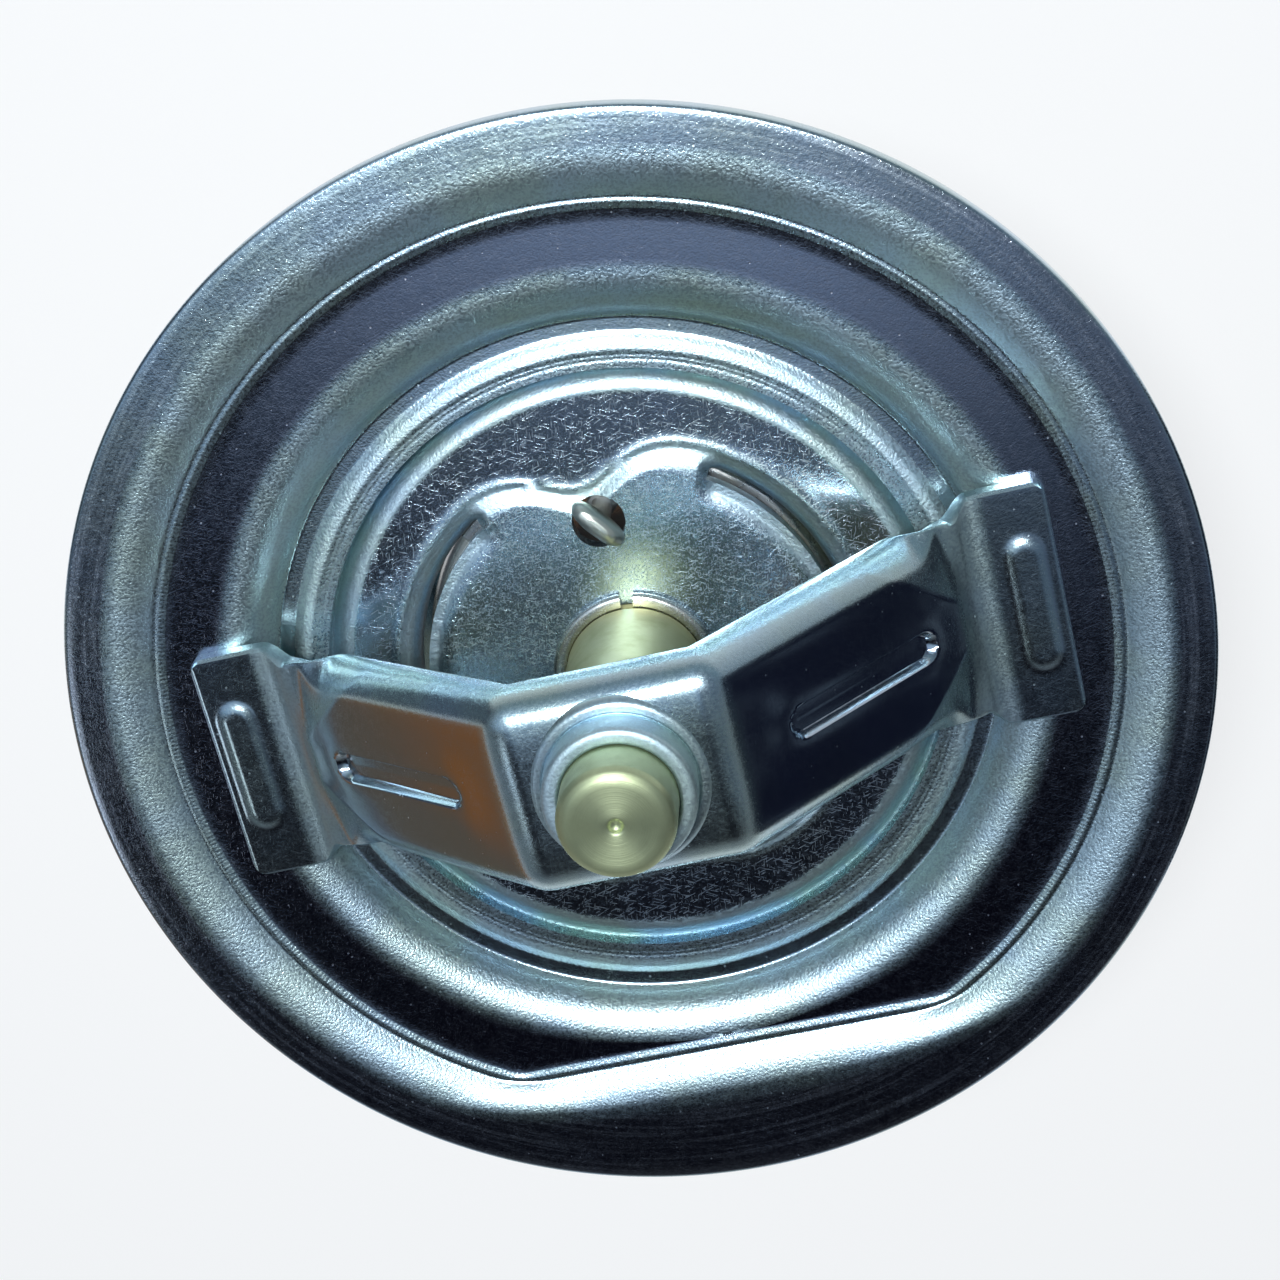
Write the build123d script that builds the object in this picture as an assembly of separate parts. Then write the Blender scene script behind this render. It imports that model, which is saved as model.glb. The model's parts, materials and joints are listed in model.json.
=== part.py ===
from build123d import *
import math
import os

# Wax-element engine thermostat with a bypass disc. Lengths are in millimetres.
# +Z runs along the axis from the bypass disc to the bridge, the bridge spans X, and the flat side of
# the pressed dish faces -Y. The origin is the centre of the flange's underside, where it seats.
# Heights named ..._Z are measured from the top face of the flange's rim and shifted by SHEET_T.

# ---- flange: a stamped sheet with a rim, a dish and a seat lip ----
SHEET_T = 1.2  # sheet of the flange, the bridge and the cage
FLANGE_R = 33.5
RIM_ROUND = 0.3  # the blanking die rounds the rim's upper edge and leaves the lower one sharp
RIM_IN_R = 31.0  # the flat rim ends here and the first shoulder rolls down
STEP_R = 28.45  # foot of the first shoulder
STEP_Z = -0.88
COIN_R = 28.0  # coined ring round the dish's floor
FLOOR_R = 27.65
FLOOR_Z = -0.98
FLOOR_IN_R = 24.2  # the second shoulder rolls down from here
WELL_R = 21.35  # foot of the second shoulder
WELL_Z = -3.0
LEDGE_R = 20.3  # the ledge ends here and rises to the seat lip
LIP_R = 19.4
LIP_Z = -2.66
LIP_GROOVES_R = (18.82, 19.07)  # fine turned lines on the lip
SEAT_R = 18.3  # inner edge of the lip, which the valve plate closes on
CHORD_SHIFT = 3.42  # the flat side's lines lie this much nearer to the axis than the round ones

# ---- valve plate ----
PLATE_T = 1.0
PLATE_R = 19.7
PLATE_RIM_Z = -3.92  # top of the plate's rim, just under the lip's edge
PLATE_Z = -2.95  # top of the flat ring inside the seat
SHOULDER_R = 16.9
DOME_R = 13.7
DOME_Z = -2.6
CURL_HEAD_R = 10.85  # beside a slot the hub curls down from here
CURL_DROP = 0.68
SLOT_IN_R = 12.35
SLOT_OUT_R = 12.95
LIP_FOLD_R = 14.1  # the slots' outer lips fold down from here
LIP_FOLD_Z = -4.05
SLOT_HALF_ANGLE = 61.0
JIGGLE_Y = 9.4
JIGGLE_HOLE_R = 1.55
JIGGLE_STROKE = 1.2
VALLEY_Y = 26.8  # centre of the shallow cone that draws the hub's slope in to the jiggle hole
VALLEY_R = 15.5
VALLEY_SLOPE = 1.1  # width of that slope

# ---- bridge ----
PAD_Z = 14.0
PAD_X = 6.0
BEND_X = 20.2
FOOT_END_X = 25.2
FOOT_W = 14.2
FOOT_CORNER_R = 0.7
ARM_W = 12.6
PAD_BEND_R = 3.0
FOOT_BEND_R = 2.0
EDGE_ROLL_R = 2.0  # rolled long edges of the arms and the pad
EDGE_DEPTH = 2.5
GROOVE_L = 11.5
GROOVE_W = 1.8
GROOVE_DEPTH = 0.5
FOOT_BOSS_X = 23.4
FOOT_BOSS_L = 8.6
FOOT_BOSS_W = 1.9
FOOT_BOSS_H = 0.3
COLLAR_R = 4.15
COLLAR_H = 2.0

# ---- adjusting pin and piston ----
PIN_R = 3.16
PIN_END_Z = 19.0
PIN_BOTTOM_Z = 11.4
PIN_FACE_R = 2.45
PISTON_R = 1.75
PISTON_TOP_Z = 14.2
PISTON_BOTTOM_Z = -15.5
RUNNING = 0.06  # radial clearance of sliding fits

# ---- wax element ----
NECK_R = 4.1
NECK_TOP_Z = 8.4
CUP_R = 7.6
CUP_WALL = 0.8
CUP_TOP_Z = DOME_Z - PLATE_T
CUP_BOTTOM_Z = -24.0
GUIDE_FLANGE_R = CUP_R - CUP_WALL
GUIDE_FLANGE_Z = (-4.4, -6.4)
BOOT_R = 3.5
BOOT_BOTTOM_Z = -18.0
WASHER_R = 3.0
WASHER_T = 0.45
RING_R = 4.9
RING_H = 0.65
RING_GAP = 0.7
RING_GAP_ANGLE = 84.0

# ---- springs, cage and bypass ----
WIRE_SIDES = 16
GROUND_TURNS = 0.25  # share of a turn that is ground away at each end of a spring
SPRING_WIRE = 2.0
SPRING_R = 11.85
SPRING_TURNS = 5.5
CAGE_FLOOR_Z = -26.5
CAGE_FLOOR_R = 14.2
CAGE_LEG_X = 21.0  # inner face of the upright part of a leg
CAGE_KNEE_Z = -15.5
CAGE_W = 13.0
CAGE_FOOT_X = (24.9, 26.9)
CAGE_COLLAR_Z = -29.4
STEM_R = 1.9
STEM_END_Z = -39.4
DISC_R = 13.0
DISC_FLAT_R = 9.0
DISC_Z = -36.4
DISC_RIM_Z = -40.0
CLIP_T = 0.7
BYPASS_WIRE = 1.1
BYPASS_R = (5.1, 7.9)  # centre line of the conical spring at the cup and at the disc
BYPASS_TURNS = 4.5


def at(z):
    """Height in the part's frame of a height measured from the rim's top face."""
    return z + SHEET_T


def disc(r, z_low, z_high):
    """Upright cylinder on the axis."""
    return Pos(0, 0, z_low) * Cylinder(r, z_high - z_low, align=(Align.CENTER, Align.CENTER, Align.MIN))


def ring(r_in, r_out, z_low, z_high):
    """Plain ring on the axis."""
    return disc(r_out, z_low, z_high) - disc(r_in, z_low - 1, z_high + 1)


def spun(points):
    """Solid of revolution from a closed outline of (radius, height) points."""
    face = make_face(Plane.XZ * Polyline(*points, close=True))
    return revolve(face, Axis.Z)


def roll(low, high, t):
    """Edges of a convex roll between two levels of a sheet, t below its top face.

    low is the sharp foot on the lower level, high is where the roll meets the upper level.
    """
    width = high[0] - low[0]
    side = math.copysign(1, width)
    width = abs(width)
    drop = high[1] - low[1]
    radius = (width**2 + drop**2) / (2 * drop)
    turn = math.asin(width / radius)
    centre = (high[0], high[1] - radius)

    def on_roll(angle):
        return (centre[0] - side * (radius - t) * math.sin(angle), centre[1] + (radius - t) * math.cos(angle))

    def on_foot(angle):
        return (low[0] + side * t * math.sin(angle), low[1] - t * math.cos(angle))

    edges = [ThreePointArc(on_roll(turn), on_roll(turn / 2), on_roll(0))]
    if t > 0:
        edges.insert(0, ThreePointArc(on_foot(0), on_foot(turn / 2), on_foot(turn)))
    return edges


def sheet_line(stations, t):
    """Line through a sheet's stations, t below its top face.

    A station is a (distance, height) point; a pair of points is a convex roll from foot to head.
    """
    edges = []
    last = None
    for station in stations:
        if isinstance(station[0], tuple):
            rolled = roll(*station, t)
            ends = [rolled[0] @ 0, rolled[0] @ 1, rolled[-1] @ 0, rolled[-1] @ 1]
            first = min(ends, key=lambda p: p.X)
            final = max(ends, key=lambda p: p.X)
        else:
            rolled = []
            first = final = Vector(station[0], station[1] - t)
        if last is not None and (last - first).length > 1e-6:
            edges.append(Line(last, first))
        edges += rolled
        last = final
    return edges


def ground(stations, t, floor):
    """Face between a sheet's line, t below its top, and a level far below it."""
    edges = sheet_line(stations, t)
    ends = sorted((p for e in edges for p in (e @ 0, e @ 1)), key=lambda p: p.X)
    a, b = ends[0], ends[-1]
    closing = [Line(b, (b.X, floor)), Line((b.X, floor), (a.X, floor)), Line((a.X, floor), a)]
    return Face(Wire([Plane.XZ * e for e in edges + closing]))


def flange_stations(shift, inner):
    """Top line of the flange from the dish's inner end to the rim, moved inwards by shift."""
    outer = [
        (FLOOR_R - shift, at(FLOOR_Z)),
        (COIN_R + 0.12 - shift, at(STEP_Z + 0.05)),
        (COIN_R + 0.25 - shift, at(STEP_Z)),
        ((STEP_R - shift, at(STEP_Z)), (RIM_IN_R - shift, at(0))),
        (FLANGE_R + 1.0, at(0)),
    ]
    return inner + outer


def flange_plate():
    """Flange, dish with a flat side, and seat lip, pressed from one sheet."""
    deep = -12.0
    well = [(SEAT_R, at(LIP_Z))]
    for groove_r in LIP_GROOVES_R:
        well += [(groove_r - 0.07, at(LIP_Z)), (groove_r, at(LIP_Z - 0.07)), (groove_r + 0.07, at(LIP_Z))]
    well += [
        (LIP_R, at(LIP_Z)),
        (LEDGE_R, at(WELL_Z + 0.03)),
        ((WELL_R, at(WELL_Z)), (FLOOR_IN_R, at(FLOOR_Z))),
    ]
    inner_end = FLOOR_IN_R + 0.05
    levels = []
    for t in (0.0, SHEET_T):
        round_part = revolve(ground(flange_stations(0.0, well), t, deep), Axis.Z)
        chord_face = ground(flange_stations(CHORD_SHIFT, [(inner_end - 0.05, at(FLOOR_Z))]), t, deep)
        chord = Rot(0, 0, -90) * extrude(chord_face, 20, both=True)
        levels.append(round_part + chord)
    sheet = (levels[0] - levels[1]) & ring(SEAT_R, FLANGE_R, deep, 5)
    rim_edges = sheet.edges().filter_by(GeomType.CIRCLE).filter_by(lambda e: abs(e.radius - FLANGE_R) < 1e-3)
    return fillet(rim_edges.sort_by(Axis.Z)[-1:], RIM_ROUND)


def valve_plate():
    """Valve plate: a rim under the seat, a flat ring, a raised hub and two lanced slots."""
    deep = -14.0
    hub_hole = NECK_R + 0.05
    outline = [
        (hub_hole, at(DOME_Z)),
        (CURL_HEAD_R, at(DOME_Z)),
        (DOME_R, at(PLATE_Z)),
        (SHOULDER_R, at(PLATE_Z)),
    ]
    flare = [((SEAT_R - 0.1, at(PLATE_RIM_Z)), (SHOULDER_R, at(PLATE_Z))), (PLATE_R + 1, at(PLATE_RIM_Z - 0.2))]
    levels = [revolve(ground(outline[:-1] + flare, t, deep), Axis.Z) for t in (0.0, PLATE_T)]
    sheet = (levels[0] - levels[1]) & ring(hub_hole, PLATE_R, deep, 5)
    valley_far = VALLEY_R + VALLEY_SLOPE
    valley = spun([(0, at(PLATE_Z)), (VALLEY_R, at(PLATE_Z)), (valley_far, at(DOME_Z)), (valley_far, 5), (0, 5)])
    sheet -= Pos(0, VALLEY_Y, 0) * valley & ring(hub_hole, DOME_R, deep, 5)
    sheet -= Pos(0, JIGGLE_Y, 0) * disc(JIGGLE_HOLE_R, deep, 5)

    curl_line = [(CURL_HEAD_R - 0.2, at(DOME_Z)), ((SLOT_IN_R, at(DOME_Z - CURL_DROP)), (CURL_HEAD_R, at(DOME_Z)))]
    fold = [((SLOT_OUT_R, at(LIP_FOLD_Z)), (LIP_FOLD_R, at(PLATE_Z)))]
    lip_line = fold + [(LIP_FOLD_R + 0.4, at(PLATE_Z))]
    curl, lip = (
        revolve(ground(line, 0.0, deep), Axis.Z) - revolve(ground(line, PLATE_T, deep), Axis.Z)
        for line in (curl_line, lip_line)
    )
    curl &= ring(CURL_HEAD_R, SLOT_IN_R, deep, 5)
    lip &= ring(SLOT_OUT_R - 0.4, LIP_FOLD_R, deep, 5)
    for side in (0, 180):
        sector = slot_sector(SLOT_HALF_ANGLE, side)
        sheet -= sector & ring(CURL_HEAD_R, LIP_FOLD_R, deep, 5)
        sheet += sector & (curl + lip)
    return sheet


def slot_sector(half_angle, centre_angle):
    """Wedge of space that a slot spans, seen from the axis."""
    reach = 30
    points = [(0, 0)]
    for step in range(5):
        a = math.radians(centre_angle - half_angle + step * half_angle / 2)
        points.append((reach * math.cos(a), reach * math.sin(a)))
    return extrude(make_face(Polyline(*points, close=True)), 30, both=True)


def strap_path():
    """Top line of the bridge from foot to foot, in the XZ plane."""
    foot_z = at(FLOOR_Z) + SHEET_T
    points = [(-FOOT_END_X, foot_z), (-BEND_X, foot_z), (-PAD_X, at(PAD_Z))]
    points += [(-x, z) for x, z in reversed(points)]
    bends = (FOOT_BEND_R, PAD_BEND_R, PAD_BEND_R, FOOT_BEND_R)
    return Plane.XZ * FilletPolyline(*points, radius=bends)


def strap(path, depth, width):
    """Strap of a width that hangs to a depth below its top line."""
    outline = Wire(path.edges()).offset_2d(depth, kind=Kind.ARC, side=Side.LEFT, closed=True)
    return extrude(Face(outline), width / 2, both=True)


def mirrored(shape):
    """A shape and its mirror image across the YZ plane."""
    return shape + mirror(shape, Plane.YZ)


def arm_plane(along):
    """Plane on the +X arm's top face, its X axis up the slope, a share along from pad to foot."""
    foot_z = at(FLOOR_Z) + SHEET_T
    low, high = Vector(BEND_X, 0, foot_z), Vector(PAD_X, 0, at(PAD_Z))
    slope = (high - low).normalized()
    normal = Vector(-slope.Z, 0, slope.X) * -1
    return Plane(origin=high + (low - high) * along, x_dir=slope, z_dir=normal)


def channel():
    """Arms and pad: a strap swept with its long edges rolled down, fading out above the feet."""
    foot_z = at(FLOOR_Z) + SHEET_T
    slope = (at(PAD_Z) - foot_z) / (BEND_X - PAD_X)
    end = BEND_X - 1.7
    low = (end, foot_z + (BEND_X - end) * slope)
    path = Plane.XZ * FilletPolyline((-low[0], low[1]), (-PAD_X, at(PAD_Z)), (PAD_X, at(PAD_Z)), low, radius=PAD_BEND_R)
    half, r, t, h = ARM_W / 2, EDGE_ROLL_R, SHEET_T, EDGE_DEPTH
    k = math.sqrt(0.5)
    with BuildSketch(Plane(origin=path @ 0, x_dir=(0, 1, 0), z_dir=path % 0)) as section:
        with BuildLine():
            Line((-half + r, 0), (half - r, 0))
            ThreePointArc((half - r, 0), (half - r + r * k, -r + r * k), (half, -r))
            Line((half, -r), (half, -h))
            Line((half, -h), (half - t, -h))
            Line((half - t, -h), (half - t, -r))
            ThreePointArc((half - t, -r), (half - r + (r - t) * k, -r + (r - t) * k), (half - r, -t))
            Line((half - r, -t), (-half + r, -t))
            ThreePointArc((-half + r, -t), (-half + r - (r - t) * k, -r + (r - t) * k), (-half + t, -r))
            Line((-half + t, -r), (-half + t, -h))
            Line((-half + t, -h), (-half, -h))
            Line((-half, -h), (-half, -r))
            ThreePointArc((-half, -r), (-half + r - r * k, -r + r * k), (-half + r, 0))
        make_face()
    swept = sweep(section.sketch, path=path)
    shave = [(end + 1, low[1] - 5), (end - 5.2, low[1] + 1.6), (end - 1.4, low[1] - 0.2), (end + 1, low[1] - 1.9)]
    return swept - mirrored(extrude(make_face(Plane.XZ * Polyline(*shave, close=True)), 30, both=True))


def feet():
    """The two flat feet with the bends up to the arms."""
    end = BEND_X - 1.9
    plan = [(FOOT_END_X, FOOT_W / 2), (BEND_X + 0.2, FOOT_W / 2), (BEND_X - 1.2, ARM_W / 2), (end, ARM_W / 2 - 0.8)]
    plan += [(x, -y) for x, y in reversed(plan)]
    outline = extrude(make_face(Polyline(*plan, close=True)), 40, both=True)
    corners = outline.edges().filter_by(Axis.Z).group_by(Axis.X)[-1]
    outline = fillet(corners, FOOT_CORNER_R)
    return mirrored(outline & strap(strap_path(), SHEET_T, FOOT_W))


def bridge():
    """Bridge: two arms with rolled edges and a groove, a pad with a drawn collar, and two feet."""
    body = channel() + feet()

    groove = arm_plane(0.52)
    slot = groove * extrude(SlotOverall(GROOVE_L, GROOVE_W), GROOVE_DEPTH, both=True)
    bead = groove * Pos(0, 0, -SHEET_T - GROOVE_DEPTH) * extrude(SlotOverall(GROOVE_L + 1.2, GROOVE_W + 1.2), 0.8)
    body = body + mirrored(bead) - mirrored(slot)

    foot_top = at(FLOOR_Z) + SHEET_T
    boss = Rot(0, 0, 90) * SlotOverall(FOOT_BOSS_L, FOOT_BOSS_W)
    boss = Pos(FOOT_BOSS_X, 0, foot_top - 0.2) * extrude(boss, FOOT_BOSS_H + 0.2, taper=18)
    body += mirrored(boss)
    gusset = [(BEND_X + 1.0, foot_top - 0.3), (BEND_X + 1.0, foot_top), (BEND_X - 1.6, foot_top + 2.5)]
    gusset += [(BEND_X - 2.2, foot_top + 2.2)]
    web = extrude(make_face(Plane.XZ * Polyline(*gusset, close=True)), 0.7, both=True)
    for y in (-3.6, 3.6):
        body += mirrored(Pos(0, y, 0) * web)

    pad_top = at(PAD_Z)
    collar = spun([
        (PIN_R, pad_top - SHEET_T), (COLLAR_R + 1.2, pad_top - SHEET_T), (COLLAR_R + 1.2, pad_top - 0.05),
        (COLLAR_R + 0.35, pad_top + 0.1), (COLLAR_R, pad_top + 0.5), (COLLAR_R, pad_top + COLLAR_H - 0.35),
        (COLLAR_R - 0.3, pad_top + COLLAR_H), (PIN_R + 0.15, pad_top + COLLAR_H), (PIN_R, pad_top + COLLAR_H - 0.15),
    ])
    return body - disc(COLLAR_R, pad_top - 5, pad_top + 5) + collar


def adjusting_pin():
    """Brass pin pressed into the bridge's collar; its blind hole seats the piston."""
    top = at(PIN_END_Z)
    outline = [
        (0, at(PISTON_TOP_Z) + 0.02), (PISTON_R + RUNNING, at(PISTON_TOP_Z) + 0.02),
        (PISTON_R + RUNNING, at(PIN_BOTTOM_Z)), (PIN_R - 0.4, at(PIN_BOTTOM_Z)), (PIN_R, at(PIN_BOTTOM_Z) + 0.4),
        (PIN_R, top - 0.55), (PIN_R - 0.25, top - 0.2), (PIN_FACE_R, top), (0.4, top), (0, top - 0.3),
    ]
    return spun(outline)


def piston():
    """Steel rod with a rounded head in the pin and a rounded tail in the rubber boot."""
    top, bottom = at(PISTON_TOP_Z), at(PISTON_BOTTOM_Z)
    return spun([
        (0, top), (PISTON_R - 0.75, top - 0.1), (PISTON_R, top - 0.8),
        (PISTON_R, bottom + 0.6), (PISTON_R - 0.6, bottom), (0, bottom),
    ])


def element_guide():
    """Brass guide: a neck for the piston above the plate and a flange crimped into the cup."""
    bore = PISTON_R + RUNNING
    high, low = (at(z) for z in GUIDE_FLANGE_Z)
    top = at(NECK_TOP_Z)
    hub = at(DOME_Z)
    groove = NECK_R - 0.25
    return spun([
        (bore, low), (GUIDE_FLANGE_R - 0.03, low), (GUIDE_FLANGE_R - 0.03, high), (NECK_R + 0.6, high),
        (NECK_R, high + 0.5), (NECK_R, hub), (groove, hub), (groove, hub + RING_H + 0.1),
        (NECK_R, hub + RING_H + 0.1), (NECK_R, top - 0.6), (NECK_R - 0.6, top), (2.9, top), (2.9, top - 1.6),
        (bore, top - 1.6),
    ])


def wiper_seal():
    """Rubber wiper in the top of the neck."""
    top = at(NECK_TOP_Z)
    return spun([(PISTON_R + 0.02, top - 1.6), (2.88, top - 1.6), (2.88, top - 0.15), (2.2, top - 0.15),
                 (PISTON_R + 0.02, top - 0.5)])


def retaining_ring():
    """Split ring in the neck's groove that holds the valve plate down on the cup."""
    hub = at(DOME_Z)
    inner = NECK_R - 0.2
    body = spun([(inner, hub), (RING_R - 0.1, hub), (RING_R, hub + 0.1), (RING_R, hub + RING_H - 0.15),
                 (RING_R - 0.15, hub + RING_H), (inner, hub + RING_H)])
    gap = Rot(0, 0, RING_GAP_ANGLE) * Pos(NECK_R + 1, 0, hub) * Box(3, RING_GAP, 5)
    return body - gap


def wax_cup():
    """Drawn copper cup, crimped over the guide's flange, with a boss for the bypass stem."""
    top, bottom = at(CUP_TOP_Z), at(CUP_BOTTOM_Z)
    high = at(GUIDE_FLANGE_Z[0])
    return spun([
        (NECK_R + 0.7, top), (CUP_R - 0.5, top), (CUP_R, top - 0.5), (CUP_R, top - 4.0), (CUP_R - 0.25, top - 4.4),
        (CUP_R - 0.25, bottom + 2.0), (CUP_R - 0.9, bottom + 0.8), (CUP_R - 2.4, bottom), (STEM_R + 0.9, bottom),
        (STEM_R + 0.9, bottom - 0.6), (STEM_R, bottom - 0.6), (STEM_R, bottom + CUP_WALL),
        (CUP_R - 2.6, bottom + CUP_WALL), (CUP_R - CUP_WALL - 0.25, bottom + 2.2),
        (CUP_R - CUP_WALL - 0.25, at(GUIDE_FLANGE_Z[1]) - 0.6), (GUIDE_FLANGE_R, at(GUIDE_FLANGE_Z[1]) - 0.6),
        (GUIDE_FLANGE_R, high), (NECK_R + 0.7, high),
    ])


def rubber_boot():
    """Rubber boot that wraps the piston's tail and keeps the wax off it."""
    bore = PISTON_R + RUNNING
    top, bottom = at(GUIDE_FLANGE_Z[1]), at(BOOT_BOTTOM_Z)
    return spun([
        (bore, top - WASHER_T), (WASHER_R + 0.05, top - WASHER_T), (WASHER_R + 0.05, top),
        (GUIDE_FLANGE_R - 0.05, top), (GUIDE_FLANGE_R - 0.05, top - 0.6), (BOOT_R + 0.4, top - 0.6),
        (BOOT_R, top - 1.2), (BOOT_R - 0.4, bottom + 1.0), (BOOT_R - 1.4, bottom), (0, bottom),
        (0, at(PISTON_BOTTOM_Z) - 0.1), (bore - 0.5, at(PISTON_BOTTOM_Z) - 0.1), (bore, at(PISTON_BOTTOM_Z) + 0.6),
    ])


def backup_washer():
    """Hard plastic washer that keeps the boot's rubber out of the guide's bore."""
    top = at(GUIDE_FLANGE_Z[1])
    return ring(PISTON_R + 0.03, WASHER_R, top - WASHER_T + 0.02, top - 0.02)


def wax_charge():
    """Wax that fills the cup round the boot."""
    top, bottom = at(GUIDE_FLANGE_Z[1]) - 0.65, at(CUP_BOTTOM_Z)
    wall = CUP_R - CUP_WALL - 0.3
    return spun([
        (BOOT_R + 0.42, top), (wall, top), (wall, bottom + 2.25), (CUP_R - 2.65, bottom + CUP_WALL + 0.35),
        (0, bottom + CUP_WALL + 0.35), (0, at(BOOT_BOTTOM_Z) - 0.05), (BOOT_R - 1.35, at(BOOT_BOTTOM_Z) - 0.05),
        (BOOT_R - 0.3, at(BOOT_BOTTOM_Z) + 1.0), (BOOT_R + 0.1, top - 0.6),
    ])


def coil(wire, turns, r_low, r_high, z_low, z_high):
    """Spring with ground ends; its centre line may be a cone, its wire has WIRE_SIDES flats."""
    pitch = (z_high - z_low) / (turns - 2 * GROUND_TURNS)
    length = pitch * turns
    lean = math.degrees(math.atan2(r_high - r_low, z_high - z_low))
    path = Helix(pitch, length, r_low, cone_angle=lean) if r_high != r_low else Helix(pitch, length, r_low)
    path = Pos(0, 0, z_low - pitch * GROUND_TURNS) * path
    outward = Vector((path @ 0).X, (path @ 0).Y, 0).normalized()
    section = Plane(origin=path @ 0, x_dir=outward, z_dir=path % 0) * RegularPolygon(wire / 2, WIRE_SIDES)
    body = sweep(section, path=path, is_frenet=True)
    slab = Box(4 * max(r_low, r_high), 4 * max(r_low, r_high), 20)
    return body - Pos(0, 0, z_low - 10) * slab - Pos(0, 0, z_high + 10) * slab


def cage():
    """Cage: two legs under the flange and a round floor that seats the spring and guides the cup."""
    top = at(FLOOR_Z) - SHEET_T
    foot_in, foot_out = CAGE_FOOT_X
    points = [
        (-foot_out, top), (-foot_in, top), (-CAGE_LEG_X, top - 4.4), (-CAGE_LEG_X, at(CAGE_KNEE_Z)),
        (-CAGE_FLOOR_R - 0.6, at(CAGE_FLOOR_Z)),
    ]
    points += [(-x, z) for x, z in reversed(points)]
    radii = (1.0, 3.0, 5.0, 2.0, 2.0, 5.0, 3.0, 1.0)
    path = Plane.XZ * FilletPolyline(*points, radius=radii)
    outline = Wire(path.edges()).offset_2d(SHEET_T, kind=Kind.ARC, side=Side.RIGHT, closed=True)
    legs = extrude(Face(outline), CAGE_W / 2, both=True)
    floor_z = at(CAGE_FLOOR_Z)
    body = legs + disc(CAGE_FLOOR_R, floor_z - SHEET_T, floor_z)
    bore = CUP_R + 0.1
    collar_z = at(CAGE_COLLAR_Z)
    collar = spun([(bore, floor_z), (bore + 2.0, floor_z), (bore + 2.0, floor_z - SHEET_T),
                   (bore + SHEET_T + 0.3, floor_z - SHEET_T - 0.1), (bore + SHEET_T, floor_z - SHEET_T - 0.5),
                   (bore + SHEET_T, collar_z + 0.2), (bore + SHEET_T - 0.2, collar_z), (bore, collar_z)])
    return body - disc(bore + 1.0, floor_z - 20, floor_z + 20) + collar


def bypass_stem():
    """Steel stem riveted into the cup's bottom; the bypass disc slides on it."""
    bottom = at(CUP_BOTTOM_Z)
    end = at(STEM_END_Z)
    clip = clip_top()
    groove = STEM_R - 0.45
    return spun([
        (0, bottom + CUP_WALL + 0.3), (STEM_R + 0.6, bottom + CUP_WALL + 0.3), (STEM_R + 0.6, bottom + CUP_WALL),
        (STEM_R - 0.02, bottom + CUP_WALL), (STEM_R - 0.02, clip), (groove, clip), (groove, clip - CLIP_T - 0.05),
        (STEM_R - 0.02, clip - CLIP_T - 0.05), (STEM_R - 0.02, end + 0.4), (STEM_R - 0.42, end), (0, end),
    ])


def clip_top():
    """Height of the clip's upper face, under the bypass disc and its washer."""
    return at(DISC_Z) - PLATE_T - CLIP_T - 0.05


def bypass_washer():
    """Flat washer between the bypass disc and the clip."""
    high = at(DISC_Z) - PLATE_T - 0.02
    return ring(STEM_R + RUNNING, 3.9, clip_top() + 0.02, high)


def bypass_clip():
    """Open retaining clip in the stem's groove."""
    top = clip_top()
    body = ring(STEM_R - 0.43, 3.7, top - CLIP_T, top - 0.02)
    for angle in (90, 210, 330):
        body -= Rot(0, 0, angle) * Pos(2.6, 0, top) * Cylinder(0.75, 4)
    return body - Pos(0, -3, top) * Box(2.4, 5, 4)


def bypass_disc():
    """Bypass disc: a flat face that closes the port, with its rim turned down and a guiding hub."""
    top, rim = at(DISC_Z), at(DISC_RIM_Z)
    bore = STEM_R + RUNNING
    t = PLATE_T
    return spun([
        (bore, top), (DISC_FLAT_R, top), (DISC_R - 1.2, top - 1.0), (DISC_R - 0.2, top - 1.8), (DISC_R, top - 2.2),
        (DISC_R, rim), (DISC_R - t, rim), (DISC_R - t, top - 2.5), (DISC_R - 1.7, top - 1.9), (DISC_FLAT_R, top - t),
        (bore, top - t),
    ])


def jiggle_pin():
    """Loose pin: a head squeezed flat above the plate, a stem through the hole and a bulb below."""
    seat = at(DOME_Z) + 0.02
    under = at(DOME_Z) - PLATE_T
    low = under - JIGGLE_STROKE - 0.3
    head = spun([(0, seat), (1.75, seat), (1.85, seat + 0.25), (1.6, seat + 0.8), (1.0, seat + 1.2), (0, seat + 1.3)])
    head &= Rot(0, 0, -52) * Box(4, 1.25, 20)
    stem = disc(0.6, low - 0.6, seat + 0.2)
    bulb = spun([(0, low - 2.5), (0.6, low - 2.35), (1.1, low - 1.6), (1.15, low - 1.0), (0.8, low - 0.3), (0, low)])
    flat_bulb = bulb & (Rot(0, 0, 38) * Box(4, 1.7, 60))
    return Pos(0, JIGGLE_Y, 0) * (head + stem + flat_bulb)


STEEL = (0.74, 0.78, 0.82)
BRASS = (0.72, 0.70, 0.42)
COPPER = (0.75, 0.45, 0.28)
RUBBER = (0.08, 0.08, 0.08)
WAX = (0.55, 0.42, 0.30)
WIRE = (0.35, 0.36, 0.38)
PLASTIC = (0.85, 0.84, 0.80)


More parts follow.
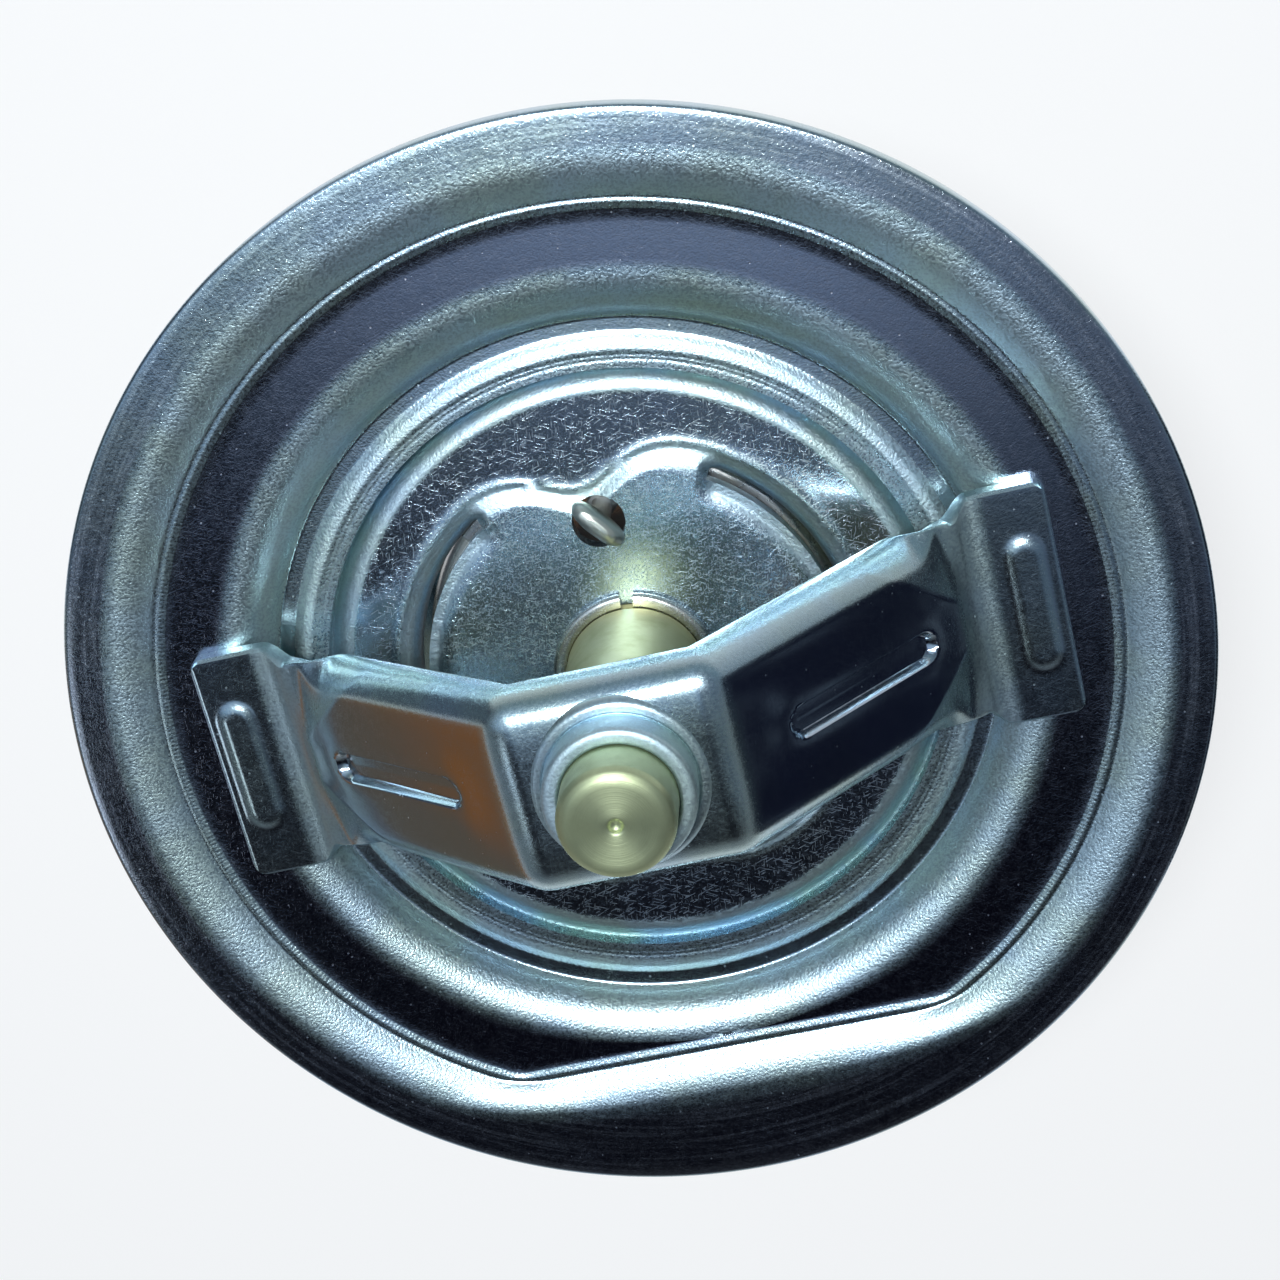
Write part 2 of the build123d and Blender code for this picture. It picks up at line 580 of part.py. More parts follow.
def nodes():
    """Every node's name, solid and colour."""
    return {
        "flange_plate": (flange_plate(), STEEL),
        "bridge": (bridge(), STEEL),
        "adjusting_pin": (adjusting_pin(), BRASS),
        "piston": (piston(), STEEL),
        "cage": (cage(), STEEL),
        "valve_plate": (valve_plate(), STEEL),
        "retaining_ring": (retaining_ring(), STEEL),
        "element_guide": (element_guide(), BRASS),
        "wiper_seal": (wiper_seal(), RUBBER),
        "wax_cup": (wax_cup(), COPPER),
        "rubber_boot": (rubber_boot(), RUBBER),
        "backup_washer": (backup_washer(), PLASTIC),
        "wax_charge": (wax_charge(), WAX),
        "main_spring": (main_spring(), WIRE),
        "jiggle_pin": (jiggle_pin(), STEEL),
        "bypass_stem": (bypass_stem(), STEEL),
        "bypass_disc": (bypass_disc(), STEEL),
        "bypass_spring": (bypass_spring(), WIRE),
        "bypass_washer": (bypass_washer(), STEEL),
        "bypass_clip": (bypass_clip(), STEEL),
    }


def main_spring():
    """Main spring between the cage's floor and the valve plate."""
    top = at(DOME_Z) - PLATE_T - 0.75
    return coil(SPRING_WIRE, SPRING_TURNS, SPRING_R, SPRING_R, at(CAGE_FLOOR_Z) + 0.02, top)


def bypass_spring():
    """Conical spring between the cup's bottom and the bypass disc."""
    r_top, r_low = BYPASS_R
    return coil(BYPASS_WIRE, BYPASS_TURNS, r_low, r_top, at(DISC_Z) + 0.02, at(CUP_BOTTOM_Z) - 0.02)


os.makedirs("parts", exist_ok=True)
for name, (shape, colour) in nodes().items():
    shape.label = name
    shape.color = Color(*colour)
    export_step(shape, f"parts/{name}.step")
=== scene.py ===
"""Dresses the engine thermostat: pressed zinc-plated sheet, turned brass, wire springs and their finishes.

Lengths are in millimetres until they are multiplied by MM. Heights of the sheets and turned pieces are measured
from the top face of the flange's rim, as in the part's own source, and `lift` carries them to the part's frame.
The springs' heights are in the part's frame already.
"""

import json
import logging
import math
from dataclasses import dataclass
from enum import Enum
from typing import Callable, Optional

import bmesh
import bpy
import numpy as np
from mathutils import Matrix, Vector

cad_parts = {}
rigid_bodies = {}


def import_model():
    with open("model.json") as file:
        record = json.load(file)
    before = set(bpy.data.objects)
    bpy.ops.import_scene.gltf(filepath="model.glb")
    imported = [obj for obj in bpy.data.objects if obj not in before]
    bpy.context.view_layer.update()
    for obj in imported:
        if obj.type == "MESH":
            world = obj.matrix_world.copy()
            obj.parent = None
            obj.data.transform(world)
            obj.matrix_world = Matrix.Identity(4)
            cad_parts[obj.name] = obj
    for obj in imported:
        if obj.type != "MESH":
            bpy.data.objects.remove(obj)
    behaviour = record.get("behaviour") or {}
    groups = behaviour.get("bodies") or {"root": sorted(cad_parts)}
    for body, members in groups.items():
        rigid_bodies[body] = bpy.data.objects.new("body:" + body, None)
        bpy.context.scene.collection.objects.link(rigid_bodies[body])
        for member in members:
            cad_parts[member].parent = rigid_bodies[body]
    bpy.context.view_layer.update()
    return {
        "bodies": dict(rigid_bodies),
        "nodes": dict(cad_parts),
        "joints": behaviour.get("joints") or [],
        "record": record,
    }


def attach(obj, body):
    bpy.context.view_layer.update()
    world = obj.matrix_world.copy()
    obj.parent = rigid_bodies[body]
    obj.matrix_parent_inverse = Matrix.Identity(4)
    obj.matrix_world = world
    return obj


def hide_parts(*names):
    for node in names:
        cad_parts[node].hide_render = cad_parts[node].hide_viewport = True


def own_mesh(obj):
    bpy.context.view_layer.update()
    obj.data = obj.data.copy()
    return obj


LOG = logging.getLogger("dress")
MM = 0.001
SHEET_T = 1.2
FINE_STEP = 0.01
ARC_POINTS = 80
Material = bpy.types.Material
Piece = bpy.types.Object
Socket = bpy.types.NodeSocket


class Body(Enum):
    """Bodies of the mechanism that the finer pieces ride on."""

    FRAME = "frame"
    VALVE = "valve"
    JIGGLE = "jiggle"


# ---------------------------------------------------------------- curves and grids


def lift(z: np.ndarray | float) -> np.ndarray | float:
    """Carries a height from the rim's top face to the part's frame."""
    return z + SHEET_T


def smooth(low: float, high: float, value: np.ndarray) -> np.ndarray:
    """Rises from 0 at low to 1 at high along the cubic 3t^2 - 2t^3."""
    t = np.clip((value - low) / (high - low), 0.0, 1.0)
    return t * t * (3.0 - 2.0 * t)


def bell(value: np.ndarray, middle: float, width: float) -> np.ndarray:
    """Bell curve exp(-((value - middle) / width)^2)."""
    return np.exp(-(((value - middle) / width) ** 2))


def around(count: int) -> np.ndarray:
    """Angles of `count` even steps round the axis."""
    return np.linspace(0.0, 2 * math.pi, count, endpoint=False)


def points_of(x: np.ndarray, y: np.ndarray, z: np.ndarray) -> np.ndarray:
    """Points (x, y, z), with the three spread over one shape."""
    return np.stack(np.broadcast_arrays(x, y, z), -1)


def polar(r: np.ndarray, angle: np.ndarray, z: np.ndarray) -> np.ndarray:
    """Points (r cos a, r sin a, z), with the three spread over one shape."""
    return points_of(r * np.cos(angle), r * np.sin(angle), z)


def squared(angle: np.ndarray, power: float) -> tuple:
    """Cosine and sine of a rounded square: each keeps its sign and is raised to `power`."""
    return tuple(np.sign(v) * np.abs(v) ** power for v in (np.cos(angle), np.sin(angle)))


def stops(start: float, *legs: tuple) -> np.ndarray:
    """Rising places along legs that follow one another.

    Args:
        start: the first place.
        legs: (end, count) of each leg, both its ends being counted.

    Returns:
        All places, each once.
    """
    places = [np.array([start])]
    for end, count in legs:
        places.append(np.linspace(places[-1][-1], end, count)[1:])
    return np.concatenate(places)


def band_quads(rows: int, columns: int) -> np.ndarray:
    """Quads of a grid of points, row by row, whose last column joins the first.

    Args:
        rows: rows of points.
        columns: points in a row.

    Returns:
        (n, 4) corners.
    """
    index = np.arange(rows * columns).reshape(rows, columns)
    right = np.roll(index, -1, axis=1)
    return np.stack([index[:-1], right[:-1], right[1:], index[1:]], -1).reshape(-1, 4)


def line_height(runs: list, where: np.ndarray, soften: float) -> np.ndarray:
    """Height of a pressed sheet's top line.

    A run is a (distance, height) point, joined to the next by a straight line, or a (foot, head) pair, which
    is a convex arc that is level at its head. The line is then averaged with a bell curve.

    Args:
        runs: the line's points and arcs, in order of distance.
        where: distances at which the height is wanted.
        soften: standard deviation of the bell curve.

    Returns:
        Heights at `where`; past the last run's end by over 1 mm the line goes on level.
    """
    ends = np.ravel(runs[0])[0], np.ravel(runs[-1])[-2]
    x = np.arange(min(ends) - 1.0, max(ends) + 1.0, FINE_STEP)
    knots = []
    for run in runs:
        if np.ndim(run) == 1:
            knots.append(np.array([run]))
            continue
        (foot_x, foot_z), (head_x, head_z) = run
        width, drop = head_x - foot_x, head_z - foot_z
        radius = (width**2 + drop**2) / (2 * drop)
        arc_x = np.sort(np.linspace(foot_x, head_x, ARC_POINTS))
        arc_z = head_z - radius + np.sqrt(np.maximum(radius**2 - (head_x - arc_x) ** 2, 0.0))
        knots.append(np.stack([arc_x, arc_z], -1))
    z = np.interp(x, *np.concatenate(knots).T)
    reach = np.arange(-3 * soften, 3 * soften + FINE_STEP, FINE_STEP)
    weight = np.exp(-0.5 * (reach / soften) ** 2)
    padded = np.pad(z, len(reach), mode="edge")
    z = np.convolve(padded, weight / weight.sum(), mode="same")[len(reach):-len(reach)]
    return np.interp(where, x, z)


def under_height(where: np.ndarray, height: np.ndarray, thickness: float) -> np.ndarray:
    """Under side of a sheet: the lowest reach of a ball of the sheet's thickness rolled along the top.

    Args:
        where: evenly spaced distances.
        height: top heights at those distances.
        thickness: the sheet's thickness.

    Returns:
        Heights of the under side at the same distances.
    """
    step = where[1] - where[0]
    reach = int(thickness / step)
    low = height - thickness
    padded = np.pad(height, reach, mode="edge")
    for k in range(-reach, reach + 1):
        dip = math.sqrt(max(thickness**2 - (k * step) ** 2, 0.0))
        low = np.minimum(low, padded[reach + k:reach + k + len(height)] - dip)
    return low


def rounded_line(corners: list, radius: float, steps: int = 5) -> np.ndarray:
    """Closed outline whose corners off the axis are bridged with the parabola tangent to both sides.

    Args:
        corners: (radius, height) points of the outline.
        radius: how far a corner is cut back, at most 45% of its shorter side.
        steps: points on each curve.

    Returns:
        (n, 2) points of the rounded outline.
    """
    p = np.array(corners, float)
    before, after = np.roll(p, 1, axis=0) - p, np.roll(p, -1, axis=0) - p
    len_b, len_a = np.linalg.norm(before, axis=1), np.linalg.norm(after, axis=1)
    cut = np.where(p[:, 0] < 1e-9, 0.0, np.minimum(radius, 0.45 * np.minimum(len_b, len_a)))
    a = p + before * (cut / len_b)[:, None]
    b = p + after * (cut / len_a)[:, None]
    t = np.linspace(0.0, 1.0, steps)[None, :, None]
    curve = (1 - t) ** 2 * a[:, None] + 2 * t * (1 - t) * p[:, None] + t**2 * b[:, None]
    return curve.reshape(-1, 2)


# ---------------------------------------------------------------- meshes


class Maker:
    """Puts arrays of points and faces into meshes that ride on the frame's bodies."""

    SHARP_ANGLE = math.radians(38.0)
    MERGE_DISTANCE = 2e-7
    SLIVER = 1e-8
    TURNED_COLUMNS = 192

    @staticmethod
    def mesh(name: str, points: np.ndarray, quads: np.ndarray, marks: Optional[dict] = None) -> Piece:
        """Makes an object from points and quads, with smooth faces and its sharp edges marked.

        Args:
            name: name of the piece.
            points: (n, 3) places in millimetres.
            quads: (m, 4) corners of each face, anticlockwise seen from outside.
            marks: point attributes by name, each an (n,) array.

        Returns:
            The new object.
        """
        used = np.unique(quads)
        place = np.full(len(points), -1)
        place[used] = np.arange(len(used))
        mesh = bpy.data.meshes.new(name)
        mesh.vertices.add(len(used))
        mesh.vertices.foreach_set("co", (points[used] * MM).astype(np.float32).ravel())
        mesh.loops.add(quads.size)
        mesh.loops.foreach_set("vertex_index", place[quads].astype(np.int32).ravel())
        mesh.polygons.add(len(quads))
        mesh.polygons.foreach_set("loop_start", np.arange(0, quads.size, 4, dtype=np.int32))
        for mark, values in (marks or {}).items():
            attribute = mesh.attributes.new(mark, "FLOAT", "POINT")
            attribute.data.foreach_set("value", values[used].astype(np.float32))
        mesh.update(calc_edges=True)
        Maker.close(mesh)
        piece = bpy.data.objects.new(name, mesh)
        bpy.context.scene.collection.objects.link(piece)
        return piece

    @staticmethod
    def close(mesh: bpy.types.Mesh) -> None:
        """Merges poles and seams, then shades smooth apart from true edges.

        Args:
            mesh: the mesh.
        """
        work = bmesh.new()
        work.from_mesh(mesh)
        bmesh.ops.remove_doubles(work, verts=work.verts, dist=Maker.MERGE_DISTANCE)
        bmesh.ops.dissolve_degenerate(work, edges=work.edges, dist=Maker.SLIVER)
        work.to_mesh(mesh)
        work.free()
        mesh.polygons.foreach_set("use_smooth", np.ones(len(mesh.polygons), dtype=bool))
        mesh.set_sharp_from_angle(angle=Maker.SHARP_ANGLE)

    @staticmethod
    def place(piece: Piece, body: Body, slot: str, material: Material, *nodes: str) -> None:
        """Gives a piece its finish and its body, and hides the nodes that it stands for.

        Args:
            piece: the new object.
            body: what it moves with.
            slot: the record's material slot; not used.
            material: its finish.
            nodes: CAD nodes that it replaces.
        """
        piece.data.materials.clear()
        piece.data.materials.append(material)
        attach(piece, body.value)
        if nodes:
            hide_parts(*nodes)
        LOG.info("%s: %d faces on %s", piece.name, len(piece.data.polygons), body.value)

    @staticmethod
    def turned(name: str, corners: list, radius: float, step: float = 0.6, satin: tuple = (0.0, 0.0, 0.0)) -> Piece:
        """Solid of revolution: the rounded outline turned about Z, P = (r cos a, r sin a, z).

        Args:
            name: name of the piece.
            corners: outline of (radius, height), anticlockwise with the axis on the left.
            radius: rounding of its corners.
            step: longest straight run between rows.
            satin: height, and the values of its satin mark below and above that height.

        Returns:
            The closed piece.
        """
        line = rounded_line(corners, radius)
        ends = np.roll(line, -1, axis=0)
        counts = np.maximum(1, np.ceil(np.linalg.norm(ends - line, axis=1) / step).astype(int))
        share = np.concatenate([np.arange(n) / n for n in counts])[:, None]
        line = np.repeat(line, counts, axis=0) * (1 - share) + np.repeat(ends, counts, axis=0) * share
        points = polar(line[:, :1], around(Maker.TURNED_COLUMNS), line[:, 1:]).reshape(-1, 3)
        quads = band_quads(len(line) + 1, Maker.TURNED_COLUMNS) % len(points)
        touching = (points[quads][:, :, :2] ** 2).sum(-1).max(-1) > 1e-12
        level, below, above = satin
        return Maker.mesh(name, points, quads[touching], {"satin": np.where(points[:, 2] < level, below, above)})

    @staticmethod
    def tube(name: str, rings: np.ndarray) -> Piece:
        """Closed tube through a run of rings, its ends drawn together to a point in the middle of each.

        Args:
            name: name of the piece.
            rings: (count, sides, 3) points.

        Returns:
            The piece, with its faces outwards whichever way the rings turn.
        """
        sides = rings.shape[1]
        first, last = (np.repeat(ring.mean(axis=1, keepdims=True), sides, axis=1) for ring in (rings[:1], rings[-1:]))
        rings = np.concatenate([first, rings, last])
        quads = band_quads(len(rings), sides)
        k = len(rings) // 2
        normal = np.cross(rings[k, 1] - rings[k, 0], rings[k + 1, 0] - rings[k, 0])
        if np.dot(normal, rings[k, 0] - rings[k].mean(axis=0)) < 0:
            quads = quads[:, ::-1]
        return Maker.mesh(name, rings.reshape(-1, 3), quads)


@dataclass
class Sheet:
    """Upper and under side of a sheet on one grid; cells that are not kept are openings.

    Attributes:
        upper: (rows, columns, 3) points of the upper side.
        under: points of the under side on the same grid.
        closed: the last column joins the first.
        keep: true where a cell has metal; every cell has, if it isn't given.
    """

    upper: np.ndarray
    under: np.ndarray
    closed: bool
    keep: Optional[np.ndarray] = None

    def build(self, name: str, **marks: np.ndarray) -> Piece:
        """Joins both sides and puts a wall wherever a kept cell borders an opening or the sheet's end.

        Args:
            name: name of the piece.
            marks: attributes as (rows, columns) arrays, given to both sides.

        Returns:
            The closed piece.
        """
        rows, columns = self.upper.shape[:2]
        low = rows * columns
        index = np.arange(low).reshape(rows, columns)
        if self.closed:
            index = np.concatenate([index, index[:, :1]], axis=1)
        a, b, c, d = index[:-1, :-1], index[1:, :-1], index[1:, 1:], index[:-1, 1:]
        kept = np.ones(a.shape, dtype=bool) if self.keep is None else self.keep
        quads = [np.stack([a, b, c, d], -1)[kept], np.stack([d, c, b, a], -1)[kept] + low]

        side = np.pad(kept, ((1, 1), (0, 0)))
        along = np.stack([index[:, :-1], index[:, 1:], index[:, 1:] + low, index[:, :-1] + low], -1)
        quads += [along[side[1:] & ~side[:-1]], along[side[:-1] & ~side[1:]][:, ::-1]]

        if self.closed:
            after, before, lines = kept, np.roll(kept, 1, axis=1), index[:, :-1]
        else:
            wide = np.pad(kept, ((0, 0), (1, 1)))
            after, before, lines = wide[:, 1:], wide[:, :-1], index
        across = np.stack([lines[1:], lines[:-1], lines[:-1] + low, lines[1:] + low], -1)
        quads += [across[after & ~before], across[before & ~after][:, ::-1]]

        points = np.concatenate([self.upper.reshape(-1, 3), self.under.reshape(-1, 3)])
        both = {mark: np.tile(values.ravel(), 2) for mark, values in marks.items()}
        return Maker.mesh(name, points, np.concatenate(quads), both)


# ---------------------------------------------------------------- finishes


def rgba(colour: tuple, scale: tuple = (1.0, 1.0, 1.0)) -> tuple:
    """Opaque colour, each channel multiplied by its scale."""
    return (*(channel * factor for channel, factor in zip(colour, scale)), 1.0)


class Tree:
    """Short hand for placing and joining the nodes of one tree."""

    def __init__(self, tree: bpy.types.NodeTree) -> None:
        """Takes a node tree and empties it."""
        tree.nodes.clear()
        self.tree = tree

    def add(self, kind: str, settings: Optional[dict] = None, **inputs: object) -> bpy.types.Node:
        """Adds a node.

        Args:
            kind: the node's type name.
            settings: its own properties.
            inputs: values or sockets by input name, with _ for a space; in0, in1 ... go by number.

        Returns:
            The node.
        """
        node = self.tree.nodes.new(kind)
        for key, value in (settings or {}).items():
            setattr(node, key, value)
        for key, value in inputs.items():
            by_number = key[:2] == "in" and key[2:].isdigit()
            socket = node.inputs[int(key[2:])] if by_number else node.inputs[key.replace("_", " ")]
            if isinstance(value, Socket):
                self.tree.links.new(value, socket)
            else:
                socket.default_value = value
        return node

    def math(self, operation: str, a: object, b: object = 0.0, clamp: bool = False) -> Socket:
        """Joins two numbers by a Math node."""
        return self.add("ShaderNodeMath", {"operation": operation, "use_clamp": clamp}, in0=a, in1=b).outputs[0]

    def plus(self, a: object, b: object, clamp: bool = False) -> Socket:
        """Sum of two numbers."""
        return self.math("ADD", a, b, clamp)

    def times(self, a: object, b: object, clamp: bool = False) -> Socket:
        """Product of two numbers."""
        return self.math("MULTIPLY", a, b, clamp)

    def swing(self, noise: Socket, reach: float) -> Socket:
        """Noise made to swing about zero: (noise - 0.5) * reach."""
        return self.times(self.math("SUBTRACT", noise, 0.5), reach)

    def span(self, value: object, low: float, high: float, to_low: object = 0.0, to_high: object = 1.0) -> Socket:
        """Maps low..high smoothly to to_low..to_high."""
        return self.add("ShaderNodeMapRange", {"interpolation_type": "SMOOTHSTEP"}, Value=value, From_Min=low,
                        From_Max=high, To_Min=to_low, To_Max=to_high).outputs[0]

    def mix(self, share: object, a: object, b: object) -> Socket:
        """Mixes two colours."""
        return self.add("ShaderNodeMix", {"data_type": "RGBA"}, in0=share, in6=a, in7=b).outputs[2]

    def noise(self, vector: Socket, scale: object, detail: float = 2.0, rough: float = 0.5) -> Socket:
        """Value of a noise texture, about 0.5 in the middle."""
        return self.add("ShaderNodeTexNoise", Vector=vector, Scale=scale, Detail=detail, Roughness=rough).outputs[0]

    def mark(self, name: str) -> Socket:
        """Value of a point attribute."""
        return self.add("ShaderNodeAttribute", {"attribute_name": name}).outputs["Fac"]

    def xyz(self, vector: Socket) -> bpy.types.bpy_prop_collection:
        """The three numbers of a vector."""
        return self.add("ShaderNodeSeparateXYZ", in0=vector).outputs

    def vector(self, **numbers: object) -> Socket:
        """Vector from its X, Y and Z."""
        return self.add("ShaderNodeCombineXYZ", **numbers).outputs[0]

    def vector_math(self, operation: str, **inputs: object) -> bpy.types.bpy_prop_collection:
        """Outputs of a Vector Math node."""
        return self.add("ShaderNodeVectorMath", {"operation": operation}, **inputs).outputs

    def group(self, group: bpy.types.NodeTree, **inputs: object) -> bpy.types.bpy_prop_collection:
        """Outputs of a shared node group."""
        return self.add("ShaderNodeGroup", {"node_tree": group}, **inputs).outputs

    def shade(self, tint: Socket, rough: Socket, height: Socket, depth: float, **more: object) -> None:
        """Ends a material with a Principled shader.

        Args:
            tint: base colour.
            rough: roughness.
            height: height of the bump.
            depth: metres that a height of 1 stands for.
            more: other inputs of the shader.
        """
        bump = self.add("ShaderNodeBump", Height=height, Strength=1.0, Distance=depth).outputs[0]
        shader = self.add("ShaderNodeBsdfPrincipled", Base_Color=tint, Roughness=rough, Normal=bump, **more)
        self.add("ShaderNodeOutputMaterial", Surface=shader.outputs[0])


def blank_material(name: str) -> tuple:
    """Makes a material.

    Args:
        name: the material's name.

    Returns:
        (material, its empty tree, socket of its Object coordinates).
    """
    material = bpy.data.materials.new(name)
    material.use_nodes = True
    tree = Tree(material.node_tree)
    return material, tree, tree.add("ShaderNodeTexCoord").outputs["Object"]


class Groups:
    """The node groups that the finishes share."""

    MARK_DIRECTIONS = ((0.3, 9.0), (1.4, 7.0), (2.7, 12.0))

    def __init__(self) -> None:
        """Builds every group."""
        self.wear = self.build_wear()
        self.drawing = self.build_drawing()
        self.lathe = self.build_lathe()

    @staticmethod
    def blank(name: str, inputs: dict, outputs: tuple) -> tuple:
        """Makes a shader node group with named sockets.

        Args:
            name: the group's name.
            inputs: default number by input name, besides the input Vector.
            outputs: names of its numbers.

        Returns:
            (group, tree helper, input node's outputs, output node's inputs).
        """
        group = bpy.data.node_groups.new(name, "ShaderNodeTree")
        group.interface.new_socket("Vector", in_out="INPUT", socket_type="NodeSocketVector")
        for key, value in inputs.items():
            group.interface.new_socket(key, in_out="INPUT", socket_type="NodeSocketFloat").default_value = value
        for key in outputs:
            group.interface.new_socket(key, in_out="OUTPUT", socket_type="NodeSocketFloat")
        tree = Tree(group)
        return group, tree, tree.add("NodeGroupInput").outputs, tree.add("NodeGroupOutput").inputs

    def build_wear(self) -> bpy.types.NodeTree:
        """Dull grain, short rub marks and pinpoint specks, 0 on clean metal.

        Grain is the upper part of a fine noise. Marks are the peaks of noise that is stretched along three
        directions. Specks are small discs round the points of a Voronoi pattern, of which a share is left out.

        Returns:
            The group, with the output Wear.
        """
        group, tree, given, out = self.blank("wear", {"Fineness": 15000.0, "Grain": 0.3, "Ticks": 0.5, "Specks": 0.5},
                                             ("Wear",))
        place = given["Vector"]
        marks = 0.0
        for turn, stretch in self.MARK_DIRECTIONS:
            space = tree.add("ShaderNodeMapping", {"vector_type": "TEXTURE"}, Vector=place,
                             Rotation=(0.0, 0.0, turn), Scale=(stretch, 1.0, 1.0)).outputs[0]
            marks = tree.math("MAXIMUM", marks, tree.span(tree.noise(space, given["Fineness"], 1.0), 0.645, 0.70))
        patches = tree.span(tree.noise(place, 500.0), 0.35, 0.62, 0.8, 1.0)
        marks = tree.times(tree.times(marks, patches), given["Ticks"])
        grain = tree.span(tree.noise(place, 8000.0, 3.0, 0.6), 0.46, 0.68)
        cells = tree.add("ShaderNodeTexVoronoi", Vector=place, Scale=1500.0).outputs
        present = tree.span(tree.add("ShaderNodeSeparateColor", in0=cells["Color"]).outputs[0], 0.55, 0.60)
        discs = tree.times(tree.span(cells["Distance"], 0.05, 0.12, 1.0, 0.0), present)
        total = tree.math("MAXIMUM", marks, tree.times(grain, given["Grain"]))
        tree.tree.links.new(tree.math("MAXIMUM", total, tree.times(discs, given["Specks"])), out["Wear"])
        return group

    def build_drawing(self) -> bpy.types.NodeTree:
        """Lines that a press or a brush leaves.

        Round follows the axis: noise of the radius, which drifts slowly with the angle. Out runs from the axis
        outwards: noise of the angle, which drifts slowly with the radius.

        Returns:
            The group, with the outputs Round and Out.
        """
        group, tree, given, out = self.blank("drawing", {}, ("Round", "Out"))
        parts = tree.xyz(given["Vector"])
        flat = tree.vector(X=parts[0], Y=parts[1])
        radius = tree.vector_math("LENGTH", in0=flat)["Value"]
        way = tree.xyz(tree.vector_math("NORMALIZE", in0=flat)[0])
        along = tree.vector(X=radius, Y=tree.times(way[0], 0.0007), Z=tree.times(way[1], 0.0007))
        tree.tree.links.new(tree.noise(along, 3400.0, 4.0, 0.6), out["Round"])
        outward = tree.vector(X=tree.times(way[0], 0.026), Y=tree.times(way[1], 0.026), Z=tree.times(radius, 0.3))
        tree.tree.links.new(tree.noise(outward, 9000.0), out["Out"])
        return group

    def build_lathe(self) -> bpy.types.NodeTree:
        """Lathe lines: noise read along the radius and the height, not round the axis.

        Returns:
            The group, with the output Lines.
        """
        group, tree, given, out = self.blank("turned_lines", {"Pitch": 9000.0}, ("Lines",))
        parts = tree.xyz(given["Vector"])
        radius = tree.vector_math("LENGTH", in0=tree.vector(X=parts[0], Y=parts[1]))["Value"]
        along = tree.vector(X=radius, Y=parts[2])
        tree.tree.links.new(tree.noise(along, given["Pitch"], 1.0), out["Lines"])
        return group


class Finish:
    """What a surface finish has in common; each kind paints its own nodes."""

    def material(self, name: str, groups: Groups) -> Material:
        """Builds the material.

        Args:
            name: the material's name.
            groups: the shared node groups.

        Returns:
            The new material.
        """
        material, tree, place = blank_material(name)
        self.paint(tree, place, groups)
        return material

    def paint(self, tree: Tree, place: Socket, groups: Groups) -> None:
        """Fills a material's tree; every kind of finish has its own way.

        Args:
            tree: the material's tree.
            place: its Object coordinates.
            groups: the shared node groups.
        """
        raise NotImplementedError


